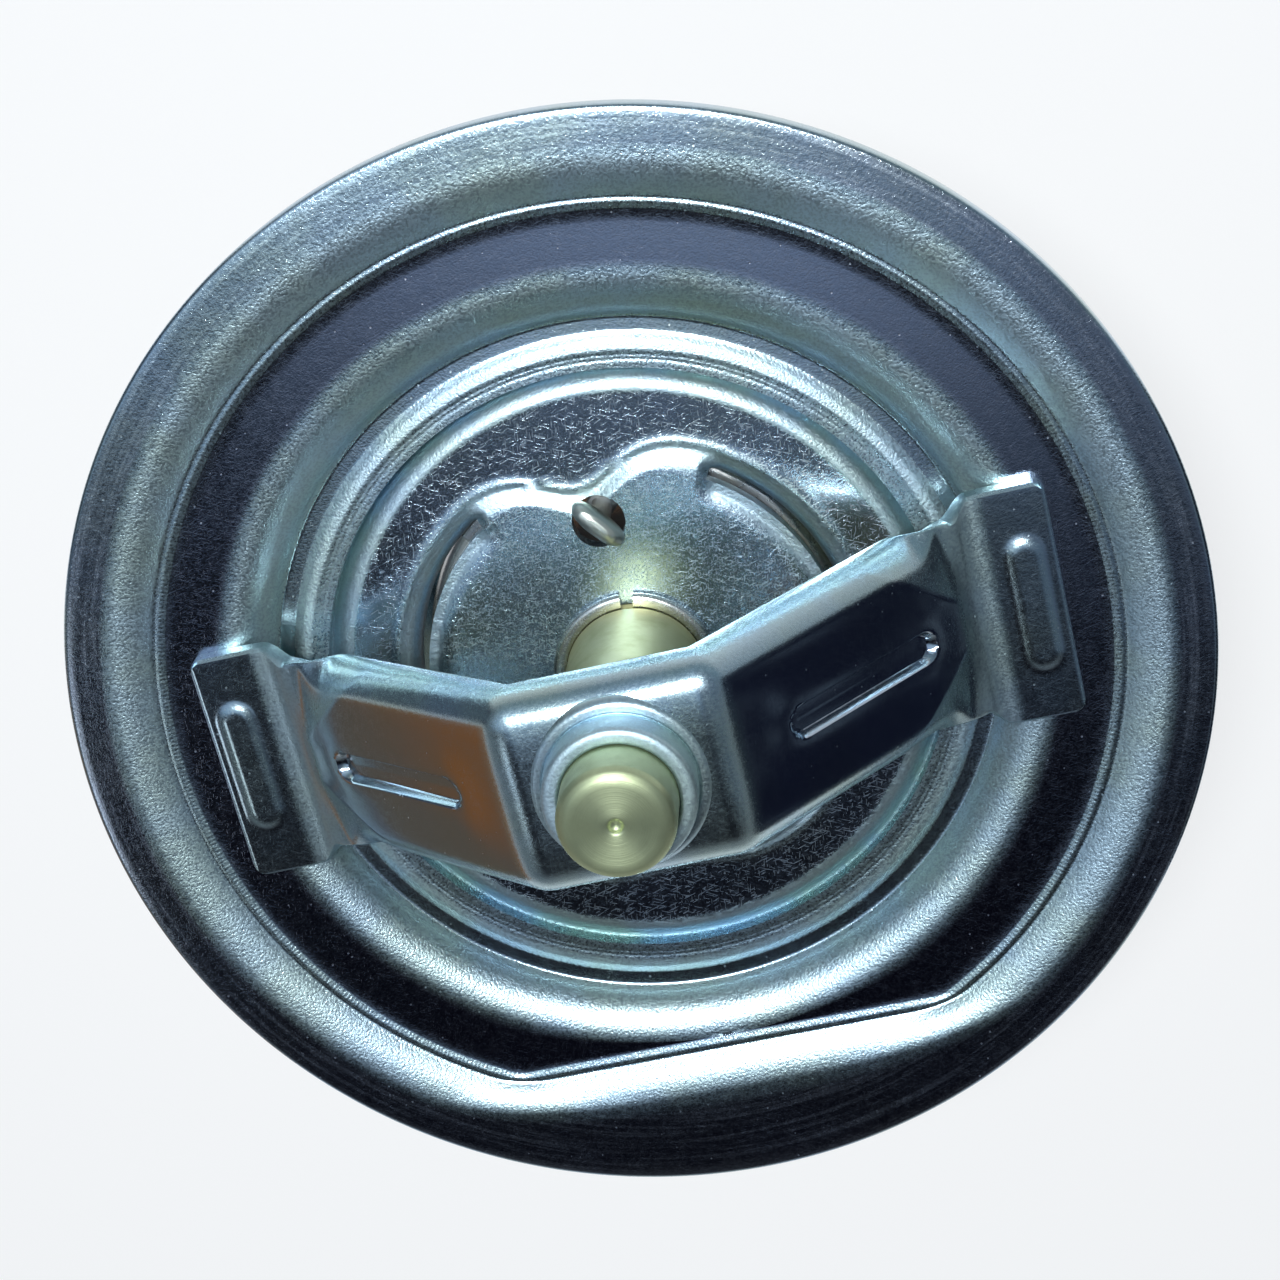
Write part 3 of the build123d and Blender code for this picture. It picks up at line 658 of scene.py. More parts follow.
@dataclass(frozen=True)
class Zinc(Finish):
    """Bright zinc plate: mirror-like where the sheet stayed flat, satin where the press stretched it.

    Attributes:
        colour: base colour of the metal.
        mirror: roughness of untouched sheet.
        satin: roughness where the `satin` attribute is 1.
        grain: strength of the dull grain.
        ticks: strength of short rub marks.
        specks: strength of pinpoint specks.
        drawn: how far the roughness follows the pressing's lines, where the `lay` attribute is 1 for lines
            round the axis and -1 for lines outwards.
        relief: depth of the fine grain, in millimetres.
        sparkle: how far the grain's pits are darker and smoother than its crests.
        serration: depth of the radial teeth where the `coin` attribute is 1, in millimetres.
        plum: how far untouched sheet leans to a dark plum.
    """

    colour: tuple = (0.50, 0.65, 0.75)
    mirror: float = 0.18
    satin: float = 0.42
    grain: float = 0.15
    ticks: float = 0.3
    specks: float = 0.6
    drawn: float = 0.0
    relief: float = 0.026
    # sparkle: how far the grain's pits are painted darker, as shade in them, and smoother than its crests.
    sparkle: float = 0.30
    serration: float = 0.0
    plum: float = 0.0

    WARM = (1.03, 1.0, 0.85)
    PLUM = (0.92, 0.74, 0.80)
    # colour scale of the shade painted into the grain's pits
    PIT = (0.6, 0.6, 0.6)
    TEETH = 700.0

    def paint(self, tree: Tree, place: Socket, groups: Groups) -> None:
        """Sets tint, roughness and relief from the piece's satin, the wear and the pressing's lines, with shade painted
        into the grain's pits.

        Args:
            tree: the material's tree.
            place: its Object coordinates.
            groups: the shared node groups.
        """
        satin = tree.mark("satin")
        wear = tree.group(groups.wear, Vector=place, Grain=self.grain, Ticks=self.ticks, Specks=self.specks)["Wear"]
        grain = tree.noise(place, 6200.0, 2.0, 0.6)
        pits = tree.times(tree.span(grain, 0.38, 0.56, 1.0, 0.0), tree.plus(satin, 0.15, clamp=True))

        cloud = tree.span(tree.noise(place, 160.0, 3.0), 0.35, 0.65)
        tint = tree.mix(cloud, rgba(self.colour), rgba(self.colour, self.WARM))
        tint = tree.mix(tree.span(satin, 0.0, 0.45, self.plum, 0.0), tint, rgba(self.colour, self.PLUM))
        # painted shade: the grain's pits are darkened towards 0.6 of the colour
        tint = tree.mix(tree.times(pits, self.sparkle), tint, rgba(self.colour, self.PIT))

        rough = tree.plus(tree.times(satin, self.satin - self.mirror), self.mirror)
        rough = tree.plus(rough, tree.swing(tree.noise(place, 1500.0, 4.0, 0.65), 0.10))
        rough = tree.math("SUBTRACT", rough, tree.times(pits, 0.14 * self.sparkle))
        if self.drawn:
            lay = tree.mark("lay")
            lines = tree.group(groups.drawing, Vector=place)
            for kind, sign in (("Round", 1.0), ("Out", -1.0)):
                where = tree.times(lay, sign * self.drawn, clamp=True)
                rough = tree.plus(rough, tree.times(tree.span(lines[kind], 0.42, 0.66), where))
        rough = tree.plus(rough, tree.times(wear, 0.22), clamp=True)

        height = tree.times(grain, tree.times(tree.plus(satin, 0.06, clamp=True), self.relief * MM))
        height = tree.plus(height, tree.times(wear, -0.14 * self.relief * MM))
        if self.serration:
            parts = tree.xyz(place)
            teeth = tree.math("SINE", tree.times(tree.math("ARCTAN2", parts[1], parts[0]), self.TEETH))
            height = tree.plus(height, tree.times(teeth, tree.times(tree.mark("coin"), self.serration * MM)))
        tree.shade(tint, rough, height, 1.0, Metallic=1.0)


@dataclass(frozen=True)
class Turned(Finish):
    """Turned metal with lathe lines round its axis.

    Attributes:
        colour: base colour.
        tarnish: colour of the duller patches.
        rough: roughness between the lines.
        lines: depth of the lathe lines, in millimetres.
        pitch: lines to a metre.
        spread: how much wider a highlight is across the lines than along them.
        shade_from: height from which it is painted nearly black, as shade under the valve plate, in millimetres.
    """

    colour: tuple
    tarnish: tuple
    rough: float = 0.22
    lines: float = 0.004
    pitch: float = 9000.0
    spread: float = 0.8
    shade_from: Optional[float] = None

    # nearly black colour of the painted shade
    SHADE_TINT = (0.035, 0.033, 0.032)

    def paint(self, tree: Tree, place: Socket, groups: Groups) -> None:
        """Sets the lathe lines, the duller patches, the painted shade above a height and the highlight that spreads
        across the lines.

        Args:
            tree: the material's tree.
            place: its Object coordinates.
            groups: the shared node groups.
        """
        lines = tree.group(groups.lathe, Vector=place, Pitch=self.pitch)["Lines"]
        cloud = tree.noise(place, 500.0, 4.0, 0.6)
        tint = tree.mix(tree.span(cloud, 0.42, 0.68), rgba(self.colour), rgba(self.tarnish))
        tint = tree.mix(tree.span(lines, 0.62, 0.75, 0.0, 0.35), tint, rgba(self.tarnish))
        # painted shade: over the 5 mm below this height the colour goes nearly black, standing in for shade under the
        # valve plate
        if self.shade_from is not None:
            black = tree.span(tree.xyz(place)[2], (self.shade_from - 5.0) * MM, self.shade_from * MM)
            tint = tree.mix(black, tint, rgba(self.SHADE_TINT))
        rough = tree.plus(self.rough, tree.swing(cloud, 0.25), clamp=True)
        round_axis = tree.add("ShaderNodeTangent", {"direction_type": "RADIAL", "axis": "Z"}).outputs[0]
        tree.shade(tint, rough, lines, self.lines * MM, Metallic=1.0, Tangent=round_axis, Anisotropic=self.spread,
                   Anisotropic_Rotation=0.25)


@dataclass(frozen=True)
class Moulded(Finish):
    """Rubber, plastic or wax: a plain tint with a fine mould grain.

    Attributes:
        colour: base colour.
        rough: roughness.
    """

    colour: tuple
    rough: float

    RELIEF = 0.02

    def paint(self, tree: Tree, place: Socket, _: Groups) -> None:
        """Sets the tint, its paler clouds and the mould grain, which needs no shared group.

        Args:
            tree: the material's tree.
            place: its Object coordinates.
        """
        grain = tree.noise(place, 1800.0, 3.0)
        pale = tuple(min(1.0, channel * 1.25 + 0.01) for channel in self.colour)
        tint = tree.mix(tree.span(tree.noise(place, 300.0, 3.0), 0.4, 0.7), rgba(self.colour), rgba(pale))
        rough = tree.plus(self.rough, tree.swing(grain, 0.2), clamp=True)
        tree.shade(tint, rough, grain, self.RELIEF * MM)


class Finishes:
    """Every finish of the part, by the record's slot."""

    TABLE = {
        "flange_zinc": Zinc(mirror=0.12, grain=0.2, ticks=0.25, specks=1.0, drawn=0.07, relief=0.034, sparkle=0.5,
                            serration=0.002, plum=0.9),
        "bridge_zinc": Zinc(mirror=0.12, satin=0.38, grain=0.1, ticks=0.3, specks=1.0, relief=0.014, plum=0.6),
        "plate_zinc": Zinc(mirror=0.14, grain=0.4, ticks=0.8, specks=1.0, plum=0.5),
        "cage_zinc": Zinc(mirror=0.22),
        "disc_zinc": Zinc(mirror=0.22),
        "jiggle_steel": Zinc((0.60, 0.65, 0.67), mirror=0.36, ticks=0.1, specks=0.3),
        "ring_steel": Zinc((0.70, 0.72, 0.70), mirror=0.25, ticks=0.1, specks=0.3),
        "spring_steel": Zinc((0.42, 0.43, 0.44), mirror=0.28, ticks=0.2),
        "pin_brass": Turned((0.50, 0.56, 0.35), (0.42, 0.47, 0.29), 0.48, lines=0.008, pitch=26000.0, spread=0.35),
        "neck_brass": Turned((0.45, 0.45, 0.25), (0.38, 0.38, 0.20), 0.52, pitch=20000.0, spread=0.35),
        "piston_steel": Turned((0.60, 0.61, 0.62), (0.50, 0.51, 0.52), 0.12, lines=0.001),
        "stem_steel": Turned((0.58, 0.60, 0.61), (0.46, 0.47, 0.48), 0.25, lines=0.003),
        # the cup's top, under the valve plate, is painted dark as shade
        "cup_copper": Turned((0.62, 0.34, 0.19), (0.43, 0.23, 0.12), 0.30, pitch=4000.0, shade_from=-8.0),
        "seal_rubber": Moulded((0.02, 0.02, 0.02), 0.62),
        "washer_plastic": Moulded((0.80, 0.79, 0.74), 0.4),
        "wax": Moulded((0.45, 0.30, 0.18), 0.5),
    }

    def __init__(self) -> None:
        """Builds the shared groups and one material a slot."""
        groups = Groups()
        self.by_slot = {slot: finish.material(slot, groups) for slot, finish in self.TABLE.items()}

    def dress_nodes(self, frame: dict) -> None:
        """Gives every CAD node the finish of its slot.
        """
        for entry in frame["record"]["subparts"]:
            node = frame["nodes"][entry["node"]]
            for spot in node.material_slots:
                spot.material = self.by_slot[entry["material_slot"]]
            LOG.info("%s: finish %s", entry["node"], entry["material_slot"])


# ---------------------------------------------------------------- flange


@dataclass
class Flange:
    """Rim, dish with a flat side, second shoulder and seat lip, pressed from one sheet."""

    rim_r: float = 33.5
    rim_round: float = 0.3
    shoulder_out: float = 31.0
    step_r: float = 28.45
    step_z: float = -0.88
    coin_r: float = 28.0
    floor_r: float = 27.65
    floor_z: float = -0.98
    floor_in: float = 24.2
    well_r: float = 21.35
    well_z: float = -3.0
    ledge_r: float = 20.3
    lip_r: float = 19.4
    lip_z: float = -2.66
    grooves: tuple = (18.82, 19.07)
    groove_half: float = 0.07
    seat_r: float = 18.3
    chord_shift: float = 3.42
    corner_r: float = 0.9
    soften: float = 0.07
    columns: int = 720

    INNER_SATIN = ((18.0, 0.55), (19.3, 0.6), (19.5, 1.3), (20.2, 1.0), (20.45, 0.3), (21.2, 0.3), (21.45, 0.9),
                   (23.7, 0.9), (24.8, 0.0))
    OUTER_SATIN = ((24.2, 0.55), (24.9, 0.0), (27.6, 0.0), (27.75, 0.55), (28.1, 0.55), (28.3, 0.3), (28.5, 0.7),
                   (28.7, 1.0), (30.5, 0.95), (31.4, 0.14), (33.4, 0.12))
    OUTER_LAY = ((27.4, -0.4), (27.7, 0.0), (31.0, 0.0), (31.6, 1.0))
    SCUFF = 0.27
    SCUFF_ANGLE = 1.8
    SEARCH = (20.0, 36.0)
    HALVINGS = 40

    def inner_runs(self) -> list:
        """Top line from the seat to the dish's floor.

        Returns:
            Runs for line_height.
        """
        half, z = self.groove_half, self.lip_z
        runs = [(self.seat_r - 0.5, z), (self.seat_r, z)]
        for groove in self.grooves:
            runs += [(groove - half, z), (groove, z - half), (groove + half, z)]
        return runs + [(self.lip_r, z), (self.lip_r + 0.5, z - 0.09), (self.ledge_r, self.well_z + 0.03),
                       ((self.well_r, self.well_z), (self.floor_in, self.floor_z)), (self.floor_in + 2.0, self.floor_z)]

    def outer_runs(self) -> list:
        """Top line from the dish's floor over the coined ring and the shoulder to the rim.

        Returns:
            Runs for line_height.
        """
        return [
            (self.floor_r - 2.0, self.floor_z), (self.floor_r, self.floor_z),
            (self.coin_r + 0.12, self.step_z + 0.05), (self.coin_r + 0.25, self.step_z),
            ((self.step_r, self.step_z), (self.shoulder_out, 0.0)), (self.rim_r + 1.0, 0.0),
        ]

    def reach(self, x: np.ndarray, y: np.ndarray) -> np.ndarray:
        """Distance that stands in for the radius outside the dish's floor.

        It is the distance from the dish's outline, which is a circle cut by the flat side, with the two
        corners rounded: the length of the two overshoots together, each counted from corner_r inside.

        Args:
            x: places along the bridge.
            y: places across it.

        Returns:
            The distances, step_r on the outline itself.
        """
        over_round = np.hypot(x, y) - self.step_r + self.corner_r
        over_flat = -y - (self.step_r - self.chord_shift) + self.corner_r
        both = np.hypot(np.maximum(over_round, 0.0), np.maximum(over_flat, 0.0))
        return self.step_r + both + np.minimum(np.maximum(over_round, over_flat), 0.0) - self.corner_r

    def radius_at(self, reach: float, angle: np.ndarray) -> np.ndarray:
        """Finds where the rays from the axis meet a line of equal `reach`, by halving.

        Args:
            reach: the value on the line.
            angle: angles of the rays.

        Returns:
            Radius at which each ray meets it.
        """
        low, high = (np.full_like(angle, end) for end in self.SEARCH)
        for _ in range(self.HALVINGS):
            middle = (low + high) / 2
            inside = self.reach(middle * np.cos(angle), middle * np.sin(angle)) < reach
            low, high = np.where(inside, middle, low), np.where(inside, high, middle)
        return (low + high) / 2

    def build(self, material: Material) -> None:
        """Builds the flange on rays from the axis, with rows that follow its creases.

        Rows inside the dish's floor take their height from the radius, rows outside it from `reach`, and the
        last ones turn the rim's edge down along a quarter of a circle.

        Args:
            material: its finish.
        """
        angle = around(self.columns)
        fine = np.arange(self.seat_r - 0.5, self.rim_r + 1.0, FINE_STEP)
        inner, outer = (line_height(runs, fine, self.soften) for runs in (self.inner_runs(), self.outer_runs()))
        inner_low, outer_low = (under_height(fine, z, SHEET_T) for z in (inner, outer))
        gathered = []

        def gather(*values: np.ndarray | float) -> None:
            """Adds rows of radius, upper height, under height, satin, coin and lay."""
            gathered.append([np.broadcast_to(value, (len(values[0]), self.columns)) for value in values])

        r = stops(self.seat_r, (self.lip_r, 17), (self.well_r, 14), (self.floor_in, 14))[:, None]
        gather(r, np.interp(r, fine, inner), np.interp(r, fine, inner_low), np.interp(r, *zip(*self.INNER_SATIN)),
               0.0, -0.4 * smooth(23.5, 24.5, r))

        share = np.linspace(0.0, 1.0, 6)[1:, None]
        levels = stops(self.floor_r, (self.step_r, 10), (self.shoulder_out, 15))
        lines = np.stack([self.radius_at(level, angle) for level in levels])
        r = np.concatenate([self.floor_in * (1 - share) + lines[0] * share, lines[1:],
                            lines[-1] * (1 - share) + (self.rim_r - self.rim_round) * share])
        far = self.reach(r * np.cos(angle), r * np.sin(angle))
        scuffed = self.SCUFF * smooth(31.0, 31.6, far) * np.clip(np.cos(angle - self.SCUFF_ANGLE), 0.0, 1.0) ** 3
        gather(r, np.interp(far, fine, outer), np.interp(far, fine, outer_low),
               np.interp(far, *zip(*self.OUTER_SATIN)) + scuffed,
               smooth(27.65, 27.75, far) * (1 - smooth(28.0, 28.15, far)), np.interp(far, *zip(*self.OUTER_LAY)))

        bend = np.linspace(0.0, math.pi / 2, 5)[1:, None]
        gather(self.rim_r - self.rim_round * (1 - np.sin(bend)), -self.rim_round * (1 - np.cos(bend)), -SHEET_T,
               0.3, 0.0, 1.0)

        r, top, low, satin, coin, lay = (np.concatenate(rows) for rows in zip(*gathered))
        sheet = Sheet(polar(r, angle, lift(top)), polar(r, angle, lift(low)), True)
        piece = sheet.build("flange_pressing", satin=satin, coin=coin, lay=lay)
        Maker.place(piece, Body.FRAME, "flange_zinc", material, "flange_plate")


# ---------------------------------------------------------------- valve plate


@dataclass
class ValvePlate:
    """Valve plate with a raised hub, two lanced slots whose outer lips fold down, and a jiggle hole."""

    thickness: float = 1.0
    hub_hole: float = 4.15
    plate_r: float = 19.7
    rim_z: float = -3.92
    ring_z: float = -2.95
    shoulder_r: float = 16.9
    foot_r: float = 18.2
    hub_z: float = -2.6
    hub_slope: float = 1.5
    curl_r: float = 12.35
    slot_out: float = 12.95
    fold_r: float = 14.1
    fold_z: float = -4.05
    half_angle: float = 61.0
    jiggle_y: float = 9.4
    jiggle_r: float = 1.55
    snap: float = 0.12
    bead_h: float = 0.07
    soften: float = 0.1
    columns: int = 960

    VALLEYS = ((2.7, 93.0), (1.2, 270.0))
    VALLEY_WIDTH = 15.0

    def lanced(self, r: np.ndarray) -> tuple:
        """Top lines of the hub, which curls down beside a slot, and of the ring, whose lip folds under.

        Args:
            r: evenly spaced radii.

        Returns:
            (hub's heights, ring's heights) at those radii.
        """
        hub = [(3.0, self.hub_z), ((self.curl_r, self.hub_z - 0.68), (self.curl_r - 1.5, self.hub_z))]
        ring = [((self.slot_out - 0.02, self.fold_z), (self.fold_r, self.ring_z)), (self.shoulder_r - 0.1, self.ring_z),
                ((self.foot_r, self.rim_z), (self.shoulder_r, self.ring_z)), (self.plate_r + 1.0, self.rim_z - 0.2)]
        return line_height(hub, r, self.soften), line_height(ring, r, self.soften)

    def foot_line(self, angle: np.ndarray) -> np.ndarray:
        """Line at which the hub's slope ends: fold_r, drawn in to the jiggle hole and a little opposite it.

        Args:
            angle: angles round the axis.

        Returns:
            Its radius at each angle.
        """
        (deep, at_hole), (shallow, opposite) = self.VALLEYS
        degrees = np.degrees(angle)
        drawn_in = (deep * bell(degrees, at_hole, self.VALLEY_WIDTH)
                    + shallow * bell(degrees, opposite, self.VALLEY_WIDTH))
        return self.fold_r - drawn_in

    def build(self, material: Material) -> None:
        """Builds the plate on rays from the axis; the slots' weight w turns the plain line into the lanced one.

        Between the slots the height falls from the hub to the ring along 3t^2 - 2t^3, over the last hub_slope
        before the foot line, and a low bead of bell-curve section follows that line.

        Args:
            material: its finish.
        """
        angle = around(self.columns)
        fine = np.arange(3.5, self.plate_r + 0.5, FINE_STEP)
        hub, ring = self.lanced(fine)
        hub_low, ring_low = (under_height(fine, z, self.thickness) for z in (hub, ring))

        hub_rows = stops(self.hub_hole, (7.6, 12), (self.curl_r, 36))
        fold = self.fold_r - (self.fold_r - self.slot_out) * np.cos(np.linspace(0.05, math.pi / 2, 14))
        ring_rows = stops(self.fold_r, (14.9, 9), (self.shoulder_r - 0.2, 6), (self.foot_r, 14), (self.plate_r, 4))
        rows = np.concatenate([hub_rows, fold, ring_rows[1:]])
        inside = (np.arange(len(rows)) < len(hub_rows))[:, None]
        r = np.repeat(rows[:, None], self.columns, axis=1)
        off = np.abs((np.degrees(angle) + 90.0) % 180.0 - 90.0)
        weight = 1.0 - smooth(self.half_angle - 7.0, self.half_angle, off)

        line = self.foot_line(angle)[None, :]
        fall = smooth(0.0, 1.0, (r - line + self.hub_slope) / self.hub_slope)
        flared = r > self.shoulder_r - 0.6
        beyond = np.interp(r, fine, np.where(fine > self.shoulder_r - 0.6, ring, self.ring_z)) - self.ring_z
        plain = self.hub_z + (self.ring_z - self.hub_z) * fall + beyond
        plain_low = np.where(flared, np.interp(r, fine, ring_low), plain - self.thickness)
        cut = np.where(inside, np.interp(r, fine, hub), np.interp(r, fine, ring))
        cut_low = np.where(inside, np.interp(r, fine, hub_low), np.interp(r, fine, ring_low))
        top = cut * weight + plain * (1 - weight) + self.bead_h * bell(r - line, 0.12, 0.28)
        low = cut_low * weight + plain_low * (1 - weight)

        x, y = r * np.cos(angle), r * np.sin(angle)
        near = np.hypot(x, y - self.jiggle_y)
        scale = np.where(np.abs(near - self.jiggle_r) < self.snap, self.jiggle_r / np.maximum(near, 1e-6), 1.0)
        x, y = x * scale, self.jiggle_y + (y - self.jiggle_y) * scale
        far = np.hypot(x, y - self.jiggle_y) > self.jiggle_r - 1e-6
        right = np.roll(far, -1, axis=1)
        slot = (np.arange(len(rows) - 1) == len(hub_rows) - 1)[:, None] & (weight > 0.45)
        keep = ~slot & far[:-1] & far[1:] & right[:-1] & right[1:]

        lips = np.minimum(bell(r, 13.5, 0.75) + 0.8 * bell(r, 12.0, 0.7), 1.0)
        satin = np.maximum.reduce([
            0.9 * smooth(self.shoulder_r - 0.3, self.shoulder_r + 0.2, r), weight * lips,
            0.9 * bell(r - line, -0.6, 0.9), 0.3 * (1 - smooth(-1.6, -0.6, r - line))])
        piece = Sheet(points_of(x, y, lift(top)), points_of(x, y, lift(low)), True, keep).build(
            "valve_plate_pressing", satin=satin)
        Maker.place(piece, Body.VALVE, "plate_zinc", material, "valve_plate")


# ---------------------------------------------------------------- bridge


@dataclass
class Path:
    """Half of the strap's top line, from the pad's middle to the foot's end: straights joined by true arcs.

    Attributes:
        s: distances along the line.
        x: places from the middle at those distances.
        z: heights at those distances.
        heading: its angle to the level at those distances.
        marks: distances of the ends of each straight and arc, in order, the first being 0.
    """

    s: np.ndarray
    x: np.ndarray
    z: np.ndarray
    heading: np.ndarray
    marks: np.ndarray

    STEPS = 4000

    @classmethod
    def through(cls, corners: list, radii: tuple) -> "Path":
        """Makes the path by summing steps along its heading, which turns evenly in the arcs.

        Args:
            corners: the four (x, z) corners, the first in the pad's middle.
            radii: radii of the two bends.

        Returns:
            The path.
        """
        legs = np.diff(np.array(corners), axis=0)
        length = np.linalg.norm(legs, axis=1)
        head = np.arctan2(legs[:, 1], legs[:, 0])
        turn = np.abs(np.diff(head))
        cut = np.array(radii) * np.tan(turn / 2)
        straight = [length[0] - cut[0], length[1] - cut[0] - cut[1], length[2] - cut[1]]
        arcs = np.array(radii) * turn
        marks = np.cumsum([0.0, straight[0], arcs[0], straight[1], arcs[1], straight[2]])
        s = np.linspace(0.0, marks[-1], cls.STEPS)
        heading = np.interp(s, marks, np.repeat(head, 2))
        step, middle = np.diff(s), (heading[1:] + heading[:-1]) / 2
        x = np.concatenate([[0.0], np.cumsum(np.cos(middle) * step)])
        z = corners[0][1] + np.concatenate([[0.0], np.cumsum(np.sin(middle) * step)])
        return cls(s, x, z, heading, marks)

    def stations(self) -> np.ndarray:
        """Places of the grid's columns, close together in the bends and at the foot's end.

        Returns:
            Distances along the line.
        """
        _, pad, bend, arm, foot, end = self.marks
        spans = ((0.0, pad, 24), (pad, bend, 14), (bend, arm, 100), (arm, foot, 20), (foot, end - 0.8, 28),
                 (end - 0.8, end, 8))
        return np.concatenate([np.linspace(a, b, n, endpoint=False) for a, b, n in spans] + [[end]])


@dataclass
class Bridge:
    """Strap bridge: pad, two arms with rolled edges and pressed grooves, and two flat feet."""

    pad_z: float = 14.0
    pad_x: float = 6.0
    bend_x: float = 20.2
    foot_end: float = 25.2
    foot_w: float = 14.2
    foot_z: float = 0.22
    foot_corner: float = 0.7
    arm_w: float = 12.6
    pad_bend: float = 2.4
    foot_bend: float = 2.0
    waist: float = 0.35
    edge_roll: float = 0.22
    crown: float = 8.0
    roll_r: float = 2.0
    depth: float = 2.5
    dart_depth: float = 0.5
    dart_slant: float = 0.72
    groove_at: float = 0.52
    groove_l: float = 11.5
    groove_w: float = 1.8
    groove_depth: float = 0.5
    swell: float = 0.09
    boss_x: float = 23.4
    boss_l: float = 8.2
    boss_w: float = 2.25
    boss_h: float = 0.17
    arm_slope: float = 44.15
    collar_r: float = 4.15
    collar_h: float = 2.0
    pin_r: float = 3.16
    flat_rows: int = 40
    roll_rows: int = 18

    def section(self, half: np.ndarray, path: Path) -> tuple:
        """Right half of the section at each station: it leans over towards the strap's long edge.

        The lean at a distance q from the middle is crown (q / flat)^3 on the flat, then grows by q / roll_r up
        to a right angle; cosine and sine of the lean, summed along q, give the point's place. Beyond the arms
        the roll fades out and the strap widens to the foot, whose corners are rounded.

        Args:
            half: distance of each station from the pad's middle.
            path: the strap's path.

        Returns:
            (distance out, drop, lean, distance left to the edge) as (rows, stations) arrays.
        """
        _, _, _, arm, foot, end = path.marks
        fade = 1.0 - smooth(arm - 3.2, arm + 0.2, half)
        on_foot = smooth(foot - 1.3, foot - 0.2, half)
        corner = np.clip(self.foot_corner - (end - half), 0.0, self.foot_corner)
        width = (self.arm_w / 2) * (1 - on_foot) + (self.foot_w / 2) * on_foot - self.waist * bell(half - arm, 0.2, 0.9)
        width = width - self.foot_corner + np.sqrt(self.foot_corner**2 - corner**2)
        lean_end, crown = (math.pi / 2) * fade, math.radians(self.crown) * fade
        flat = width - self.roll_r * np.sin(lean_end)
        total = flat + self.roll_r * (lean_end - crown) + (self.depth - self.roll_r) * fade

        inner = np.linspace(0.0, 1.0, self.flat_rows)[:, None] * flat
        rise = 1 - (1 - np.linspace(0.0, 1.0, self.roll_rows + 1)[1:, None]) ** 1.25
        q = np.concatenate([inner, flat + rise * (total - flat)])
        lean = crown * np.minimum(q / flat, 1.0) ** 3 + np.clip((q - flat) / self.roll_r, 0.0, lean_end - crown)
        middle, step = (lean[1:] + lean[:-1]) / 2, np.diff(q, axis=0)
        start = np.zeros((1, len(half)))
        out = np.concatenate([start, np.cumsum(np.cos(middle) * step, axis=0)])
        drop = np.concatenate([start, np.cumsum(np.sin(middle) * step, axis=0)])
        return out, drop, lean, total - q

    def relief(self, half: np.ndarray, y: np.ndarray, path: Path) -> tuple:
        """Height that the pressing adds to the strap, and how far it dulls it.

        Each oblong is a slot shape: its depth fades over a short edge with the distance from its centre line,
        and the sheet swells a little round a groove. A dart is a flat facet that leans away from the slanting
        crease between the roll and the foot's bend.

        Args:
            half: distance along the path from the pad's middle.
            y: distance across the strap.
            path: the strap's path.

        Returns:
            (height, dulling) arrays: grooves down, bosses up, facets down; walls and facets are duller.
        """
        _, _, bend, arm, _, end = path.marks
        arm_length = math.hypot(self.bend_x - self.pad_x, self.pad_z - self.foot_z)
        centre = bend - self.pad_bend * math.tan(math.radians(self.arm_slope) / 2) + self.groove_at * arm_length
        along = np.maximum(np.abs(half - centre) - (self.groove_l - self.groove_w) / 2, 0.0)
        from_line = np.hypot(along, y)
        groove = 1.0 - smooth(self.groove_w / 2 - 0.22, self.groove_w / 2 + 0.06, from_line)
        across = np.maximum(np.abs(y) - (self.boss_l - self.boss_w) / 2, 0.0)
        from_line_b = np.hypot(half - (end - (self.foot_end - self.boss_x)), across)
        boss = 1.0 - smooth(self.boss_w / 2 - 0.6, self.boss_w / 2 + 0.2, from_line_b)
        to_foot = arm - half
        crease = (np.abs(y) - 1.7) - (to_foot - 1.0) * self.dart_slant
        dart = np.clip(crease / 4.6, 0.0, 1.0) * smooth(-0.5, 0.9, to_foot) * (1 - smooth(5.6, 6.4, to_foot))
        height = (self.swell * bell(from_line, 1.1, 1.5) - self.groove_depth * groove + self.boss_h * boss
                  - self.dart_depth * dart)
        dull = np.maximum.reduce([1.2 * groove * (1 - groove), boss * (1 - boss) + 0.3 * boss,
                                  0.45 * smooth(0.0, 0.08, dart)])
        return height, dull

    def build(self, material: Material) -> None:
        """Builds the strap: its section carried along the path, to both sides of the pad's middle.

        Grooves, bosses, darts and worn edges move it along the surface's own normal.

        Args:
            material: its finish.
        """
        path = Path.through([(0.0, self.pad_z), (self.pad_x, self.pad_z), (self.bend_x, self.foot_z),
                             (self.foot_end, self.foot_z)], (self.pad_bend, self.foot_bend))
        _, pad, bend, arm, foot, end = path.marks
        along = path.stations()
        along = np.concatenate([-along[:0:-1], along])
        half, side = np.abs(along), np.where(along < 0, -1.0, 1.0)
        px = np.interp(half, path.s, path.x) * np.sign(along)
        pz, heading = (np.interp(half, path.s, values) for values in (path.z, path.heading))

        out, drop, lean, rest = self.section(half, path)
        y = np.concatenate([-out[:0:-1], out])
        drop, lean, rest = (np.concatenate([part[:0:-1], part]) for part in (drop, lean, rest))
        relief, scuff = self.relief(half[None, :], y, path)
        edge = np.minimum(rest, end - half)
        worn = np.clip(self.edge_roll - edge, 0.0, self.edge_roll)
        relief = relief * np.cos(lean) - self.edge_roll + np.sqrt(self.edge_roll**2 - worn**2)

        flat_n = points_of(-np.sin(heading) * side, 0.0, np.cos(heading))
        skin = flat_n * np.cos(lean)[..., None] + points_of(0.0, np.sign(y) * np.sin(lean), 0.0)
        centre = points_of(px, y, lift(pz)) - flat_n * drop[..., None]
        upper = centre + skin * relief[..., None]
        under = centre + skin * (np.minimum(relief, 0.0) * (edge > 0.6) - SHEET_T)[..., None]

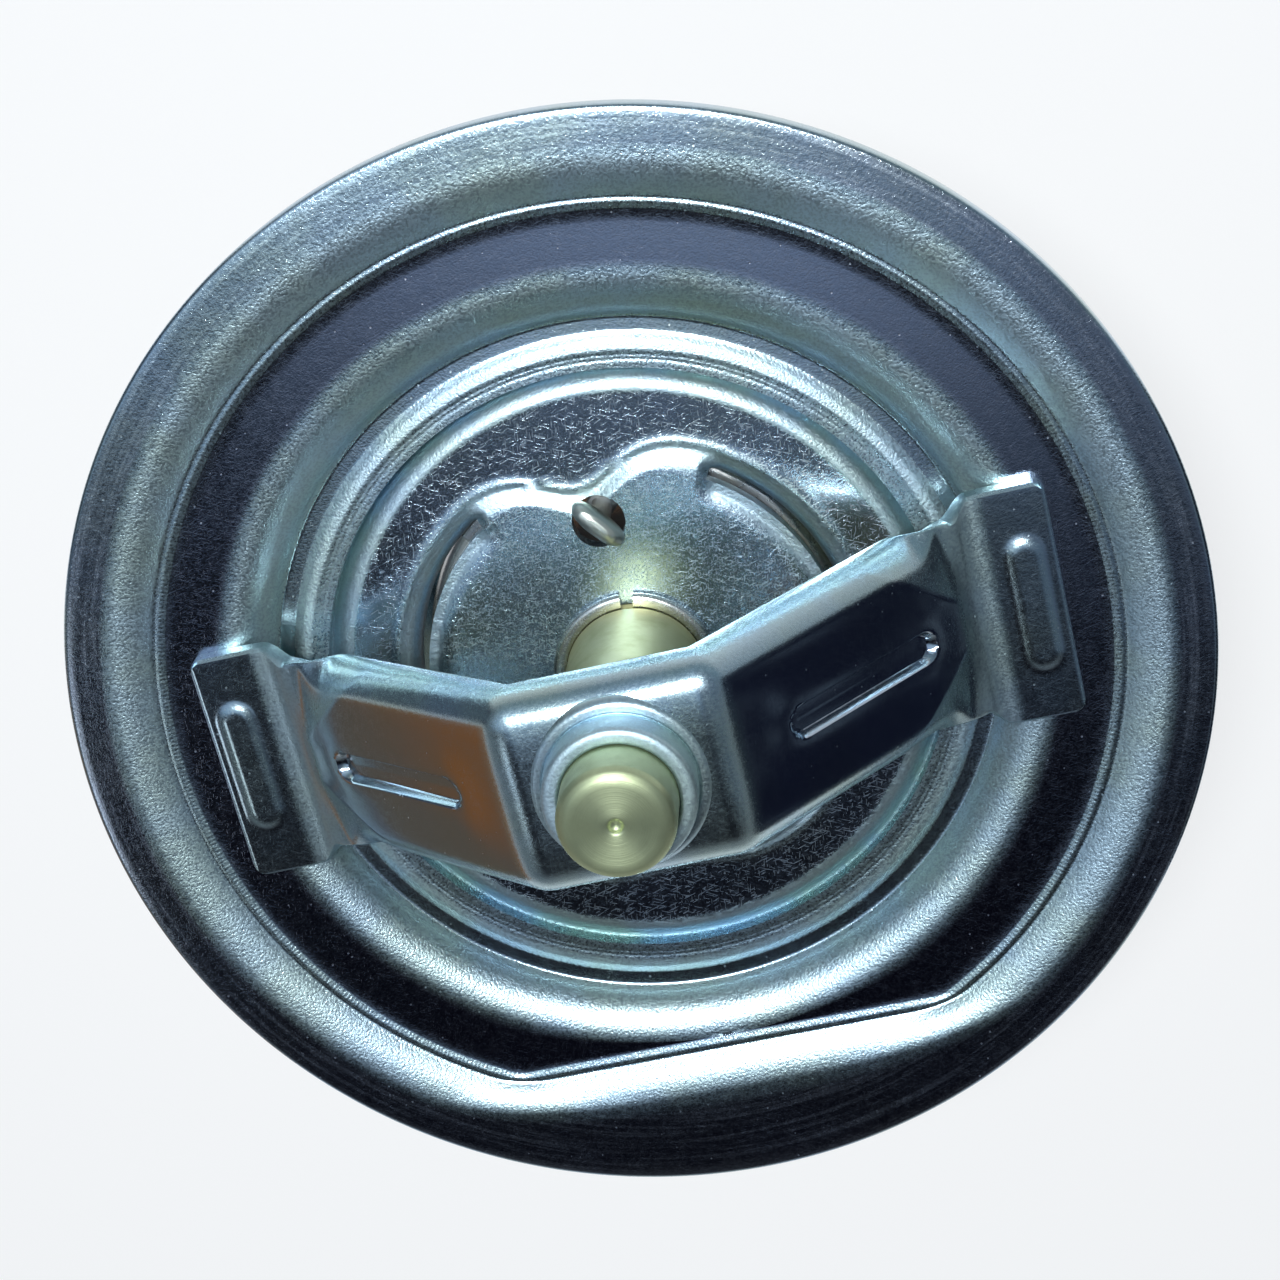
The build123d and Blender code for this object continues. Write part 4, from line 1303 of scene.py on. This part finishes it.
        bends = smooth(pad - 0.4, pad + 0.8, half) * (1 - smooth(bend - 0.6, bend + 0.8, half))
        foot_zone = smooth(arm - 1.0, arm, half) * (1 - 0.75 * smooth(foot, foot + 0.8, half))
        on_pad = 1 - smooth(pad - 0.2, pad + 0.6, half)
        satin = np.maximum.reduce(np.broadcast_arrays(
            0.5 * smooth(0.03, 0.4, lean), 0.6 * bends, 0.9 * foot_zone, scuff, 0.7 - 0.7 * smooth(0.02, 0.3, edge),
            0.5 * on_pad))
        piece = Sheet(upper[::-1], under[::-1], False).build("bridge_strap", satin=satin[::-1])
        Maker.place(piece, Body.FRAME, "bridge_zinc", material, "bridge")

    def collar(self, material: Material) -> None:
        """Drawn collar round the pin, its mouth rolled over, with a low swelling round its foot.

        Args:
            material: its finish.
        """
        foot, mouth = lift(self.pad_z), lift(self.pad_z) + self.collar_h
        inner, outer = self.pin_r + 0.005, self.collar_r
        piece = Maker.turned("bridge_collar", [
            (inner, foot - SHEET_T), (outer + 0.6, foot - SHEET_T), (outer + 1.0, foot - 0.4),
            (outer + 0.6, foot + 0.08), (outer + 0.14, foot + 0.12), (outer + 0.03, foot + 0.02), (outer, foot + 0.3),
            (outer, mouth - 0.35), (outer - 0.1, mouth - 0.1), (outer - 0.35, mouth), (inner + 0.12, mouth),
            (inner, mouth - 0.3),
        ], 0.42, satin=(foot + 0.35, 0.9, 1.5))
        Maker.place(piece, Body.FRAME, "bridge_zinc", material)


# ---------------------------------------------------------------- pieces on the axis and in the hole


@dataclass
class Core:
    """Adjusting pin and split ring on the axis."""

    pin_r: float = 3.16
    pin_end: float = 19.0
    pin_bottom: float = 11.4
    blind_end: float = 14.22
    blind_r: float = 1.81
    face_r: float = 2.45
    neck_r: float = 4.1
    hub_z: float = -2.6
    ring_r: float = 4.9
    ring_h: float = 0.65
    ring_sunk: float = 0.2
    ring_gap: float = 0.7
    gap_angle: float = 84.0
    ring_steps: int = 200
    ring_sides: int = 20

    def adjusting_pin(self, material: Material) -> None:
        """Brass pin with a faced end, a crown round it and a small centre mark.

        Args:
            material: its finish.
        """
        top, bottom, blind = lift(self.pin_end), lift(self.pin_bottom), lift(self.blind_end)
        piece = Maker.turned("pin_turned", [
            (0.0, blind), (self.blind_r, blind), (self.blind_r, bottom), (self.pin_r - 0.4, bottom),
            (self.pin_r, bottom + 0.4), (self.pin_r, top - 0.62), (self.pin_r - 0.18, top - 0.25),
            (self.face_r + 0.2, top - 0.05), (self.face_r - 0.1, top), (0.42, top), (0.3, top - 0.25), (0.0, top - 0.3),
        ], 0.14, step=0.25)
        Maker.place(piece, Body.FRAME, "pin_brass", material, "adjusting_pin")

    def split_ring(self, material: Material) -> None:
        """Split ring: a rounded square section swept to just short of a full turn, its gap facing the jiggle hole.

        Args:
            material: its finish.
        """
        gap, half = math.radians(self.gap_angle), self.ring_gap / 2 / self.neck_r
        angle = np.linspace(gap + half, gap + 2 * math.pi - half, self.ring_steps)[:, None]
        inner = self.neck_r - self.ring_sunk
        across, up = squared(around(self.ring_sides), 0.7)
        r = (inner + self.ring_r) / 2 + (self.ring_r - self.neck_r + self.ring_sunk) / 2 * across
        z = lift(self.hub_z) + self.ring_h / 2 + self.ring_h / 2 * up
        piece = Maker.tube("ring_split", polar(r, angle, z))
        Maker.place(piece, Body.VALVE, "ring_steel", material, "retaining_ring")


@dataclass
class JigglePin:
    """Loose pin in its hole: a head pinched flat, a stem and a bulb pinched across it."""

    y: float = 9.4
    seat: float = -2.58
    head_h: float = 1.28
    low: float = -5.1
    head: tuple = (1.84, 0.68, -52.0)
    stem: tuple = (0.6, 0.6, 0.0)
    bulb: tuple = (1.12, 0.84, 38.0)
    columns: int = 96
    rows: int = 40

    def pinched(self, line: list, wide: float, thin: float, turn: float) -> np.ndarray:
        """Points of a pinched body: each height's outline is a superellipse of half axes wide and thin.

        Its points are (s wide cos^k a, s thin sin^k a, z) with k = 0.8, where (s, z) runs along `line`.

        Args:
            line: (share, height) points from the foot to the top, both ends with share 0.
            wide: half length.
            thin: half width.
            turn: turn about the pin's axis in degrees.

        Returns:
            (rows * columns, 3) points, row by row.
        """
        t = np.linspace(0.0, 1.0, self.rows)
        share, z = (np.interp(t, np.linspace(0, 1, len(line)), values)[:, None] for values in zip(*line))
        across, along = squared(around(self.columns), 0.8)
        x, y = share * wide * across, share * thin * along
        c, s = math.cos(math.radians(turn)), math.sin(math.radians(turn))
        return points_of(x * c - y * s, x * s + y * c + self.y, lift(z)).reshape(-1, 3)

    def build(self, material: Material) -> None:
        """Builds head, stem and bulb as closed bodies in one piece.

        Args:
            material: its finish.
        """
        s, h, low = self.seat, self.head_h, self.low
        head = [(0, s), (0.5, s), (0.94, s + 0.05), (1.0, s + 0.25), (0.98, s + 0.6), (0.9, s + 0.85),
                (0.7, s + h - 0.16), (0.4, s + h - 0.03), (0, s + h)]
        stem = [(0, low - 0.6), (1, low - 0.6), (1, low), (1, s), (1, s + 0.2), (0, s + 0.2)]
        bulb = [(0, low - 2.4), (0.6, low - 2.3), (0.9, low - 1.9), (1, low - 1.3), (0.95, low - 0.7), (0.6, low - 0.2),
                (0, low)]
        shapes = ((head, self.head), (stem, self.stem), (bulb, self.bulb))
        points = np.concatenate([self.pinched(line, *sizes) for line, sizes in shapes])
        one = band_quads(self.rows, self.columns)
        quads = np.concatenate([one + k * self.rows * self.columns for k in range(len(shapes))])
        piece = Maker.mesh("jiggle_pinched", points, quads, {"satin": np.zeros(len(points))})
        Maker.place(piece, Body.JIGGLE, "jiggle_steel", material, "jiggle_pin")


@dataclass
class Spring:
    """Wire spring with ground ends: a helix whose radius may change evenly with height.

    Attributes:
        name: the piece's name.
        node: the CAD node that it replaces.
        body: what it moves with.
        joint: the slide that shortens it; not used.
        stroke: how far the slide shortens it; not used.
        anchor_z: height of the end that stays; not used.
        wire: the wire's thickness.
        turns: turns of the helix, ground ends included.
        r_low: radius of its centre line at the lower seat.
        r_high: radius of its centre line at the upper seat.
        z_low: height of the lower seat.
        z_high: height of the upper seat.
        ground: turns that lie beyond each seat.
        sides: steps round the wire.
        steps: steps along each turn.
    """

    name: str
    node: str
    body: Body
    joint: str
    stroke: float
    anchor_z: float
    wire: float
    turns: float
    r_low: float
    r_high: float
    z_low: float
    z_high: float
    ground: float = 0.25
    sides: int = 20
    steps: int = 72

    def build(self, material: Material) -> None:
        """Sweeps a round section along the helix and presses its ends flat between the seats.

        The centre line is (R(t) cos 2 pi t, R(t) sin 2 pi t, z0 + pitch t); a point beyond a seat is set on it,
        and the wire's tips keep a quarter of its thickness.

        Args:
            material: its finish.
        """
        length = self.z_high - self.z_low
        pitch = length / (self.turns - 2 * self.ground)
        tip = self.ground - 0.25 * self.wire / pitch
        t = np.linspace(tip, self.turns - tip, int(self.turns * self.steps))
        angle = 2 * math.pi * t
        lean = (self.r_high - self.r_low) / length
        centre = polar(self.r_low + lean * pitch * t, angle, self.z_low - pitch * self.ground + pitch * t)
        ahead = np.gradient(centre, axis=0)
        ahead /= np.linalg.norm(ahead, axis=1, keepdims=True)
        outward = polar(1.0, angle, 0.0)
        outward -= ahead * np.sum(outward * ahead, axis=1, keepdims=True)
        outward /= np.linalg.norm(outward, axis=1, keepdims=True)
        upward = np.cross(ahead, outward)
        turn = around(self.sides)[None, :, None]
        rings = centre[:, None] + self.wire / 2 * (outward[:, None] * np.cos(turn) + upward[:, None] * np.sin(turn))
        rings[..., 2] = np.clip(rings[..., 2], self.z_low, self.z_high)
        piece = Maker.tube(self.name, rings)
        Maker.place(piece, self.body, "spring_steel", material, self.node)
        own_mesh(piece)


# ---------------------------------------------------------------- studio


def direction(tilt: float, azimuth: float) -> Vector:
    """Unit direction at `tilt` degrees from the axis and `azimuth` degrees round it from +X."""
    t, a = math.radians(tilt), math.radians(azimuth)
    return Vector((math.sin(t) * math.cos(a), math.sin(t) * math.sin(a), math.cos(t)))


@dataclass
class Studio:
    """Camera, pale floor, soft lamps, and the cards and the dim room that the plate mirrors."""

    tilt: float = 21.399
    azimuth: float = 68.961
    roll: float = -14.578
    distance: float = 145.0
    shift_right: float = 0.297
    shift_up: float = 2.655
    lens: float = 70.25
    sensor: float = 36.0
    clip: tuple = (0.005, 20.0)
    floor_z: float = -48.0
    floor_r: float = 1500.0
    card_distance: float = 112.0
    card_foot: float = -47.5

    def camera(self) -> None:
        """Sets the camera on the line of sight that passes just off the rim's centre."""
        back, roll = direction(self.tilt, self.azimuth), math.radians(self.roll)
        level = Vector((0, 1, 0)).cross(back).normalized()
        right = level * math.cos(roll) + back.cross(level) * math.sin(roll)
        up = back.cross(right)
        target = Vector((0, 0, SHEET_T)) + right * self.shift_right + up * self.shift_up
        data = bpy.data.cameras.new("camera")
        data.lens, data.sensor_width = self.lens, self.sensor
        data.clip_start, data.clip_end = self.clip
        camera = bpy.data.objects.new("camera", data)
        turn = Matrix((right, up, back)).transposed().to_4x4()
        camera.matrix_world = Matrix.Translation((target + back * self.distance) * MM) @ turn
        bpy.context.scene.collection.objects.link(camera)
        bpy.context.scene.camera = camera

    @staticmethod
    def lamp(name: str, kind: str, back: Vector, distance: float, **settings: object) -> None:
        """Adds a soft lamp that faces the part and that the camera doesn't see.

        Args:
            name: the lamp's name.
            kind: type of light.
            back: unit direction from the part to the lamp.
            distance: metres from the part.
            settings: the light's own properties.
        """
        data = bpy.data.lights.new(name, kind)
        for key, value in settings.items():
            setattr(data, key, value)
        lamp = bpy.data.objects.new(name, data)
        lamp.location = back * distance
        lamp.visible_camera = False
        lamp.rotation_mode = "QUATERNION"
        lamp.rotation_quaternion = back.to_track_quat("Z", "Y")
        bpy.context.scene.collection.objects.link(lamp)

    @staticmethod
    def board(name: str, points: np.ndarray, surface: Callable, only_mirrored: bool) -> None:
        """Stands one flat face in the studio.

        Args:
            name: the object's name.
            points: its corners, in order.
            surface: makes its shader's socket from (tree, place).
            only_mirrored: whether nothing but metal sees it.
        """
        mesh = bpy.data.meshes.new(name)
        mesh.from_pydata((points * MM).tolist(), [], [tuple(range(len(points)))])
        board = bpy.data.objects.new(name, mesh)
        if only_mirrored:
            board.visible_camera = board.visible_diffuse = board.visible_shadow = False
        bpy.context.scene.collection.objects.link(board)
        material, tree, place = blank_material(name)
        tree.add("ShaderNodeOutputMaterial", Surface=surface(tree, place))
        mesh.materials.append(material)

    @staticmethod
    def pale(tree: Tree, place: Socket) -> Socket:
        """Matt floor, mixed round the part with plain white for the rays that look at it.

        They look straight or by way of metal, so that it stays pale and still takes the part's shadow.

        Args:
            tree: the floor's tree.
            place: its Object coordinates.

        Returns:
            The shader's socket.
        """
        matt = tree.add("ShaderNodeBsdfDiffuse", Color=rgba((0.95, 0.95, 0.95)))
        white = tree.add("ShaderNodeEmission", Color=rgba((1.0, 1.0, 1.0)), Strength=1.0)
        far = tree.vector_math("LENGTH", in0=place)["Value"]
        ray = tree.add("ShaderNodeLightPath").outputs
        seen = tree.math("MAXIMUM", ray["Is Camera Ray"], ray["Is Glossy Ray"])
        seen = tree.math("MAXIMUM", seen, ray["Is Transmission Ray"])
        share = tree.times(seen, tree.span(far, 0.09, 1.2, 0.65, 0.35))
        return tree.add("ShaderNodeMixShader", in0=share, in1=matt.outputs[0], in2=white.outputs[0]).outputs[0]

    def card(self, name: str, azimuth: float, half: float, high: float, paint: Callable) -> None:
        """Stands a card beside the part that only metal sees; the bridge's arms mirror it.

        Args:
            name: the card's name.
            azimuth: the way it stands, in degrees from +X.
            half: half its width.
            high: height of its top edge.
            paint: makes its colour from (tree, place).
        """
        turn = math.radians(azimuth)
        way, across = np.array([math.cos(turn), math.sin(turn), 0.0]), np.array([-math.sin(turn), math.cos(turn), 0.0])
        low, top = np.array([0.0, 0.0, self.card_foot]), np.array([0.0, 0.0, high])
        corners = [way * self.card_distance + across * (half * side) + z
                   for side, z in ((-1, low), (1, low), (1, top), (-1, top))]

        def glow(tree: Tree, place: Socket) -> Socket:
            """The card's plain glow."""
            return tree.add("ShaderNodeEmission", Color=paint(tree, place), Strength=1.0).outputs[0]

        self.board(name, np.stack(corners), glow, True)

    @staticmethod
    def brown(tree: Tree, place: Socket) -> Socket:
        """Brown above and grey below, with a wavy edge."""
        height = tree.plus(tree.xyz(place)[2], tree.swing(tree.noise(place, 40.0, 1.0), 0.014))
        return tree.mix(tree.span(height, -0.013, 0.002), rgba((0.125, 0.105, 0.078)), rgba((0.27, 0.105, 0.030)))

    @staticmethod
    def navy(tree: Tree, place: Socket) -> Socket:
        """Near black blue with a few paler patches."""
        patches = tree.span(tree.noise(place, 75.0, 1.0), 0.58, 0.66)
        return tree.mix(patches, rgba((0.006, 0.008, 0.018)), rgba((0.07, 0.09, 0.11)))

    @staticmethod
    def slate(tree: Tree, place: Socket) -> Socket:
        """Dark blue grey in soft clouds."""
        clouds = tree.span(tree.noise(place, 30.0, 1.0), 0.40, 0.62)
        return tree.mix(clouds, rgba((0.020, 0.026, 0.042)), rgba((0.085, 0.110, 0.140)))

    def room(self) -> None:
        """World: a dim room, pale at its foot, bluish to +Y, dimmer to -X, dark overhead but for its +Y side."""
        world = bpy.data.worlds.new("room")
        bpy.context.scene.world = world
        world.use_nodes = True
        tree = Tree(world.node_tree)
        way = tree.add("ShaderNodeTexCoord").outputs["Generated"]
        x, y, z = tree.xyz(way)
        walls = tree.mix(tree.span(y, -0.6, 0.6), rgba((0.23, 0.245, 0.26)), rgba((0.19, 0.26, 0.305)))
        walls = tree.mix(tree.span(x, -0.9, 0.1), rgba((0.14, 0.165, 0.185)), walls)
        ahead = tree.vector_math("DOT_PRODUCT", in0=way, in1=(0.37, 0.93, 0.0))["Value"]
        open_side = tree.times(tree.span(ahead, -0.34, -0.13), tree.span(x, -0.05, 0.12, 1.0, 0.3))
        over = tree.mix(open_side, rgba((0.002, 0.002, 0.005)), rgba((0.32, 0.43, 0.58)))
        colour = tree.mix(tree.span(z, 0.35, 0.80), walls, over)
        colour = tree.mix(tree.span(z, 0.08, 0.22), rgba((0.46, 0.47, 0.48)), colour)
        background = tree.add("ShaderNodeBackground", Color=colour, Strength=1.0)
        tree.add("ShaderNodeOutputWorld", Surface=background.outputs[0])

    def build(self) -> None:
        """Sets up the whole studio; the floor lies just below where the opened valve carries the bypass disc."""
        self.camera()
        self.board("floor", polar(self.floor_r, around(96), self.floor_z), self.pale, False)
        self.room()
        self.lamp("key", "SPOT", direction(21.0, 90.0), 0.36, shadow_soft_size=0.04, energy=4.7,
                  color=(0.94, 0.98, 1.0), spot_size=math.radians(80.0), spot_blend=1.0)
        self.card("brown_card", 201.5, half=48.0, high=14.0, paint=self.brown)
        self.card("navy_card", -21.8, half=60.0, high=62.0, paint=self.navy)
        self.card("slate_card", 152.0, half=45.0, high=50.0, paint=self.slate)
        self.lamp("strip", "AREA", direction(42.0, 206.0), 0.35, shape="DISK", size=0.07, energy=0.02,
                  color=(0.85, 0.93, 1.0))
        LOG.info("studio: camera, floor, room, cards and lamps")


# ---------------------------------------------------------------- whole part


def main() -> None:
    """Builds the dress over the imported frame."""
    logging.basicConfig(level=logging.INFO, format="%(name)s %(message)s")
    scene = bpy.context.scene
    for old in list(scene.objects):
        bpy.data.objects.remove(old)
    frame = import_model()
    scene.view_settings.view_transform = "Standard"
    finishes = Finishes()
    finishes.dress_nodes(frame)
    skins = finishes.by_slot
    Studio().build()
    Flange().build(skins["flange_zinc"])
    ValvePlate().build(skins["plate_zinc"])
    bridge = Bridge()
    bridge.build(skins["bridge_zinc"])
    bridge.collar(skins["bridge_zinc"])
    core = Core()
    core.adjusting_pin(skins["pin_brass"])
    core.split_ring(skins["ring_steel"])
    JigglePin().build(skins["jiggle_steel"])
    Spring("spring_main", "main_spring", Body.FRAME, "main_valve_slide", stroke=9.0, anchor_z=-25.28, wire=2.0,
           turns=5.5, r_low=11.85, r_high=11.85, z_low=-25.28, z_high=-3.15).build(skins["spring_steel"])
    Spring("spring_bypass", "bypass_spring", Body.VALVE, "bypass_slide", stroke=4.0, anchor_z=-22.82, wire=1.1,
           turns=4.5, r_low=7.9, r_high=5.1, z_low=-35.18, z_high=-22.82).build(skins["spring_steel"])


if __name__ == "__main__":
    main()
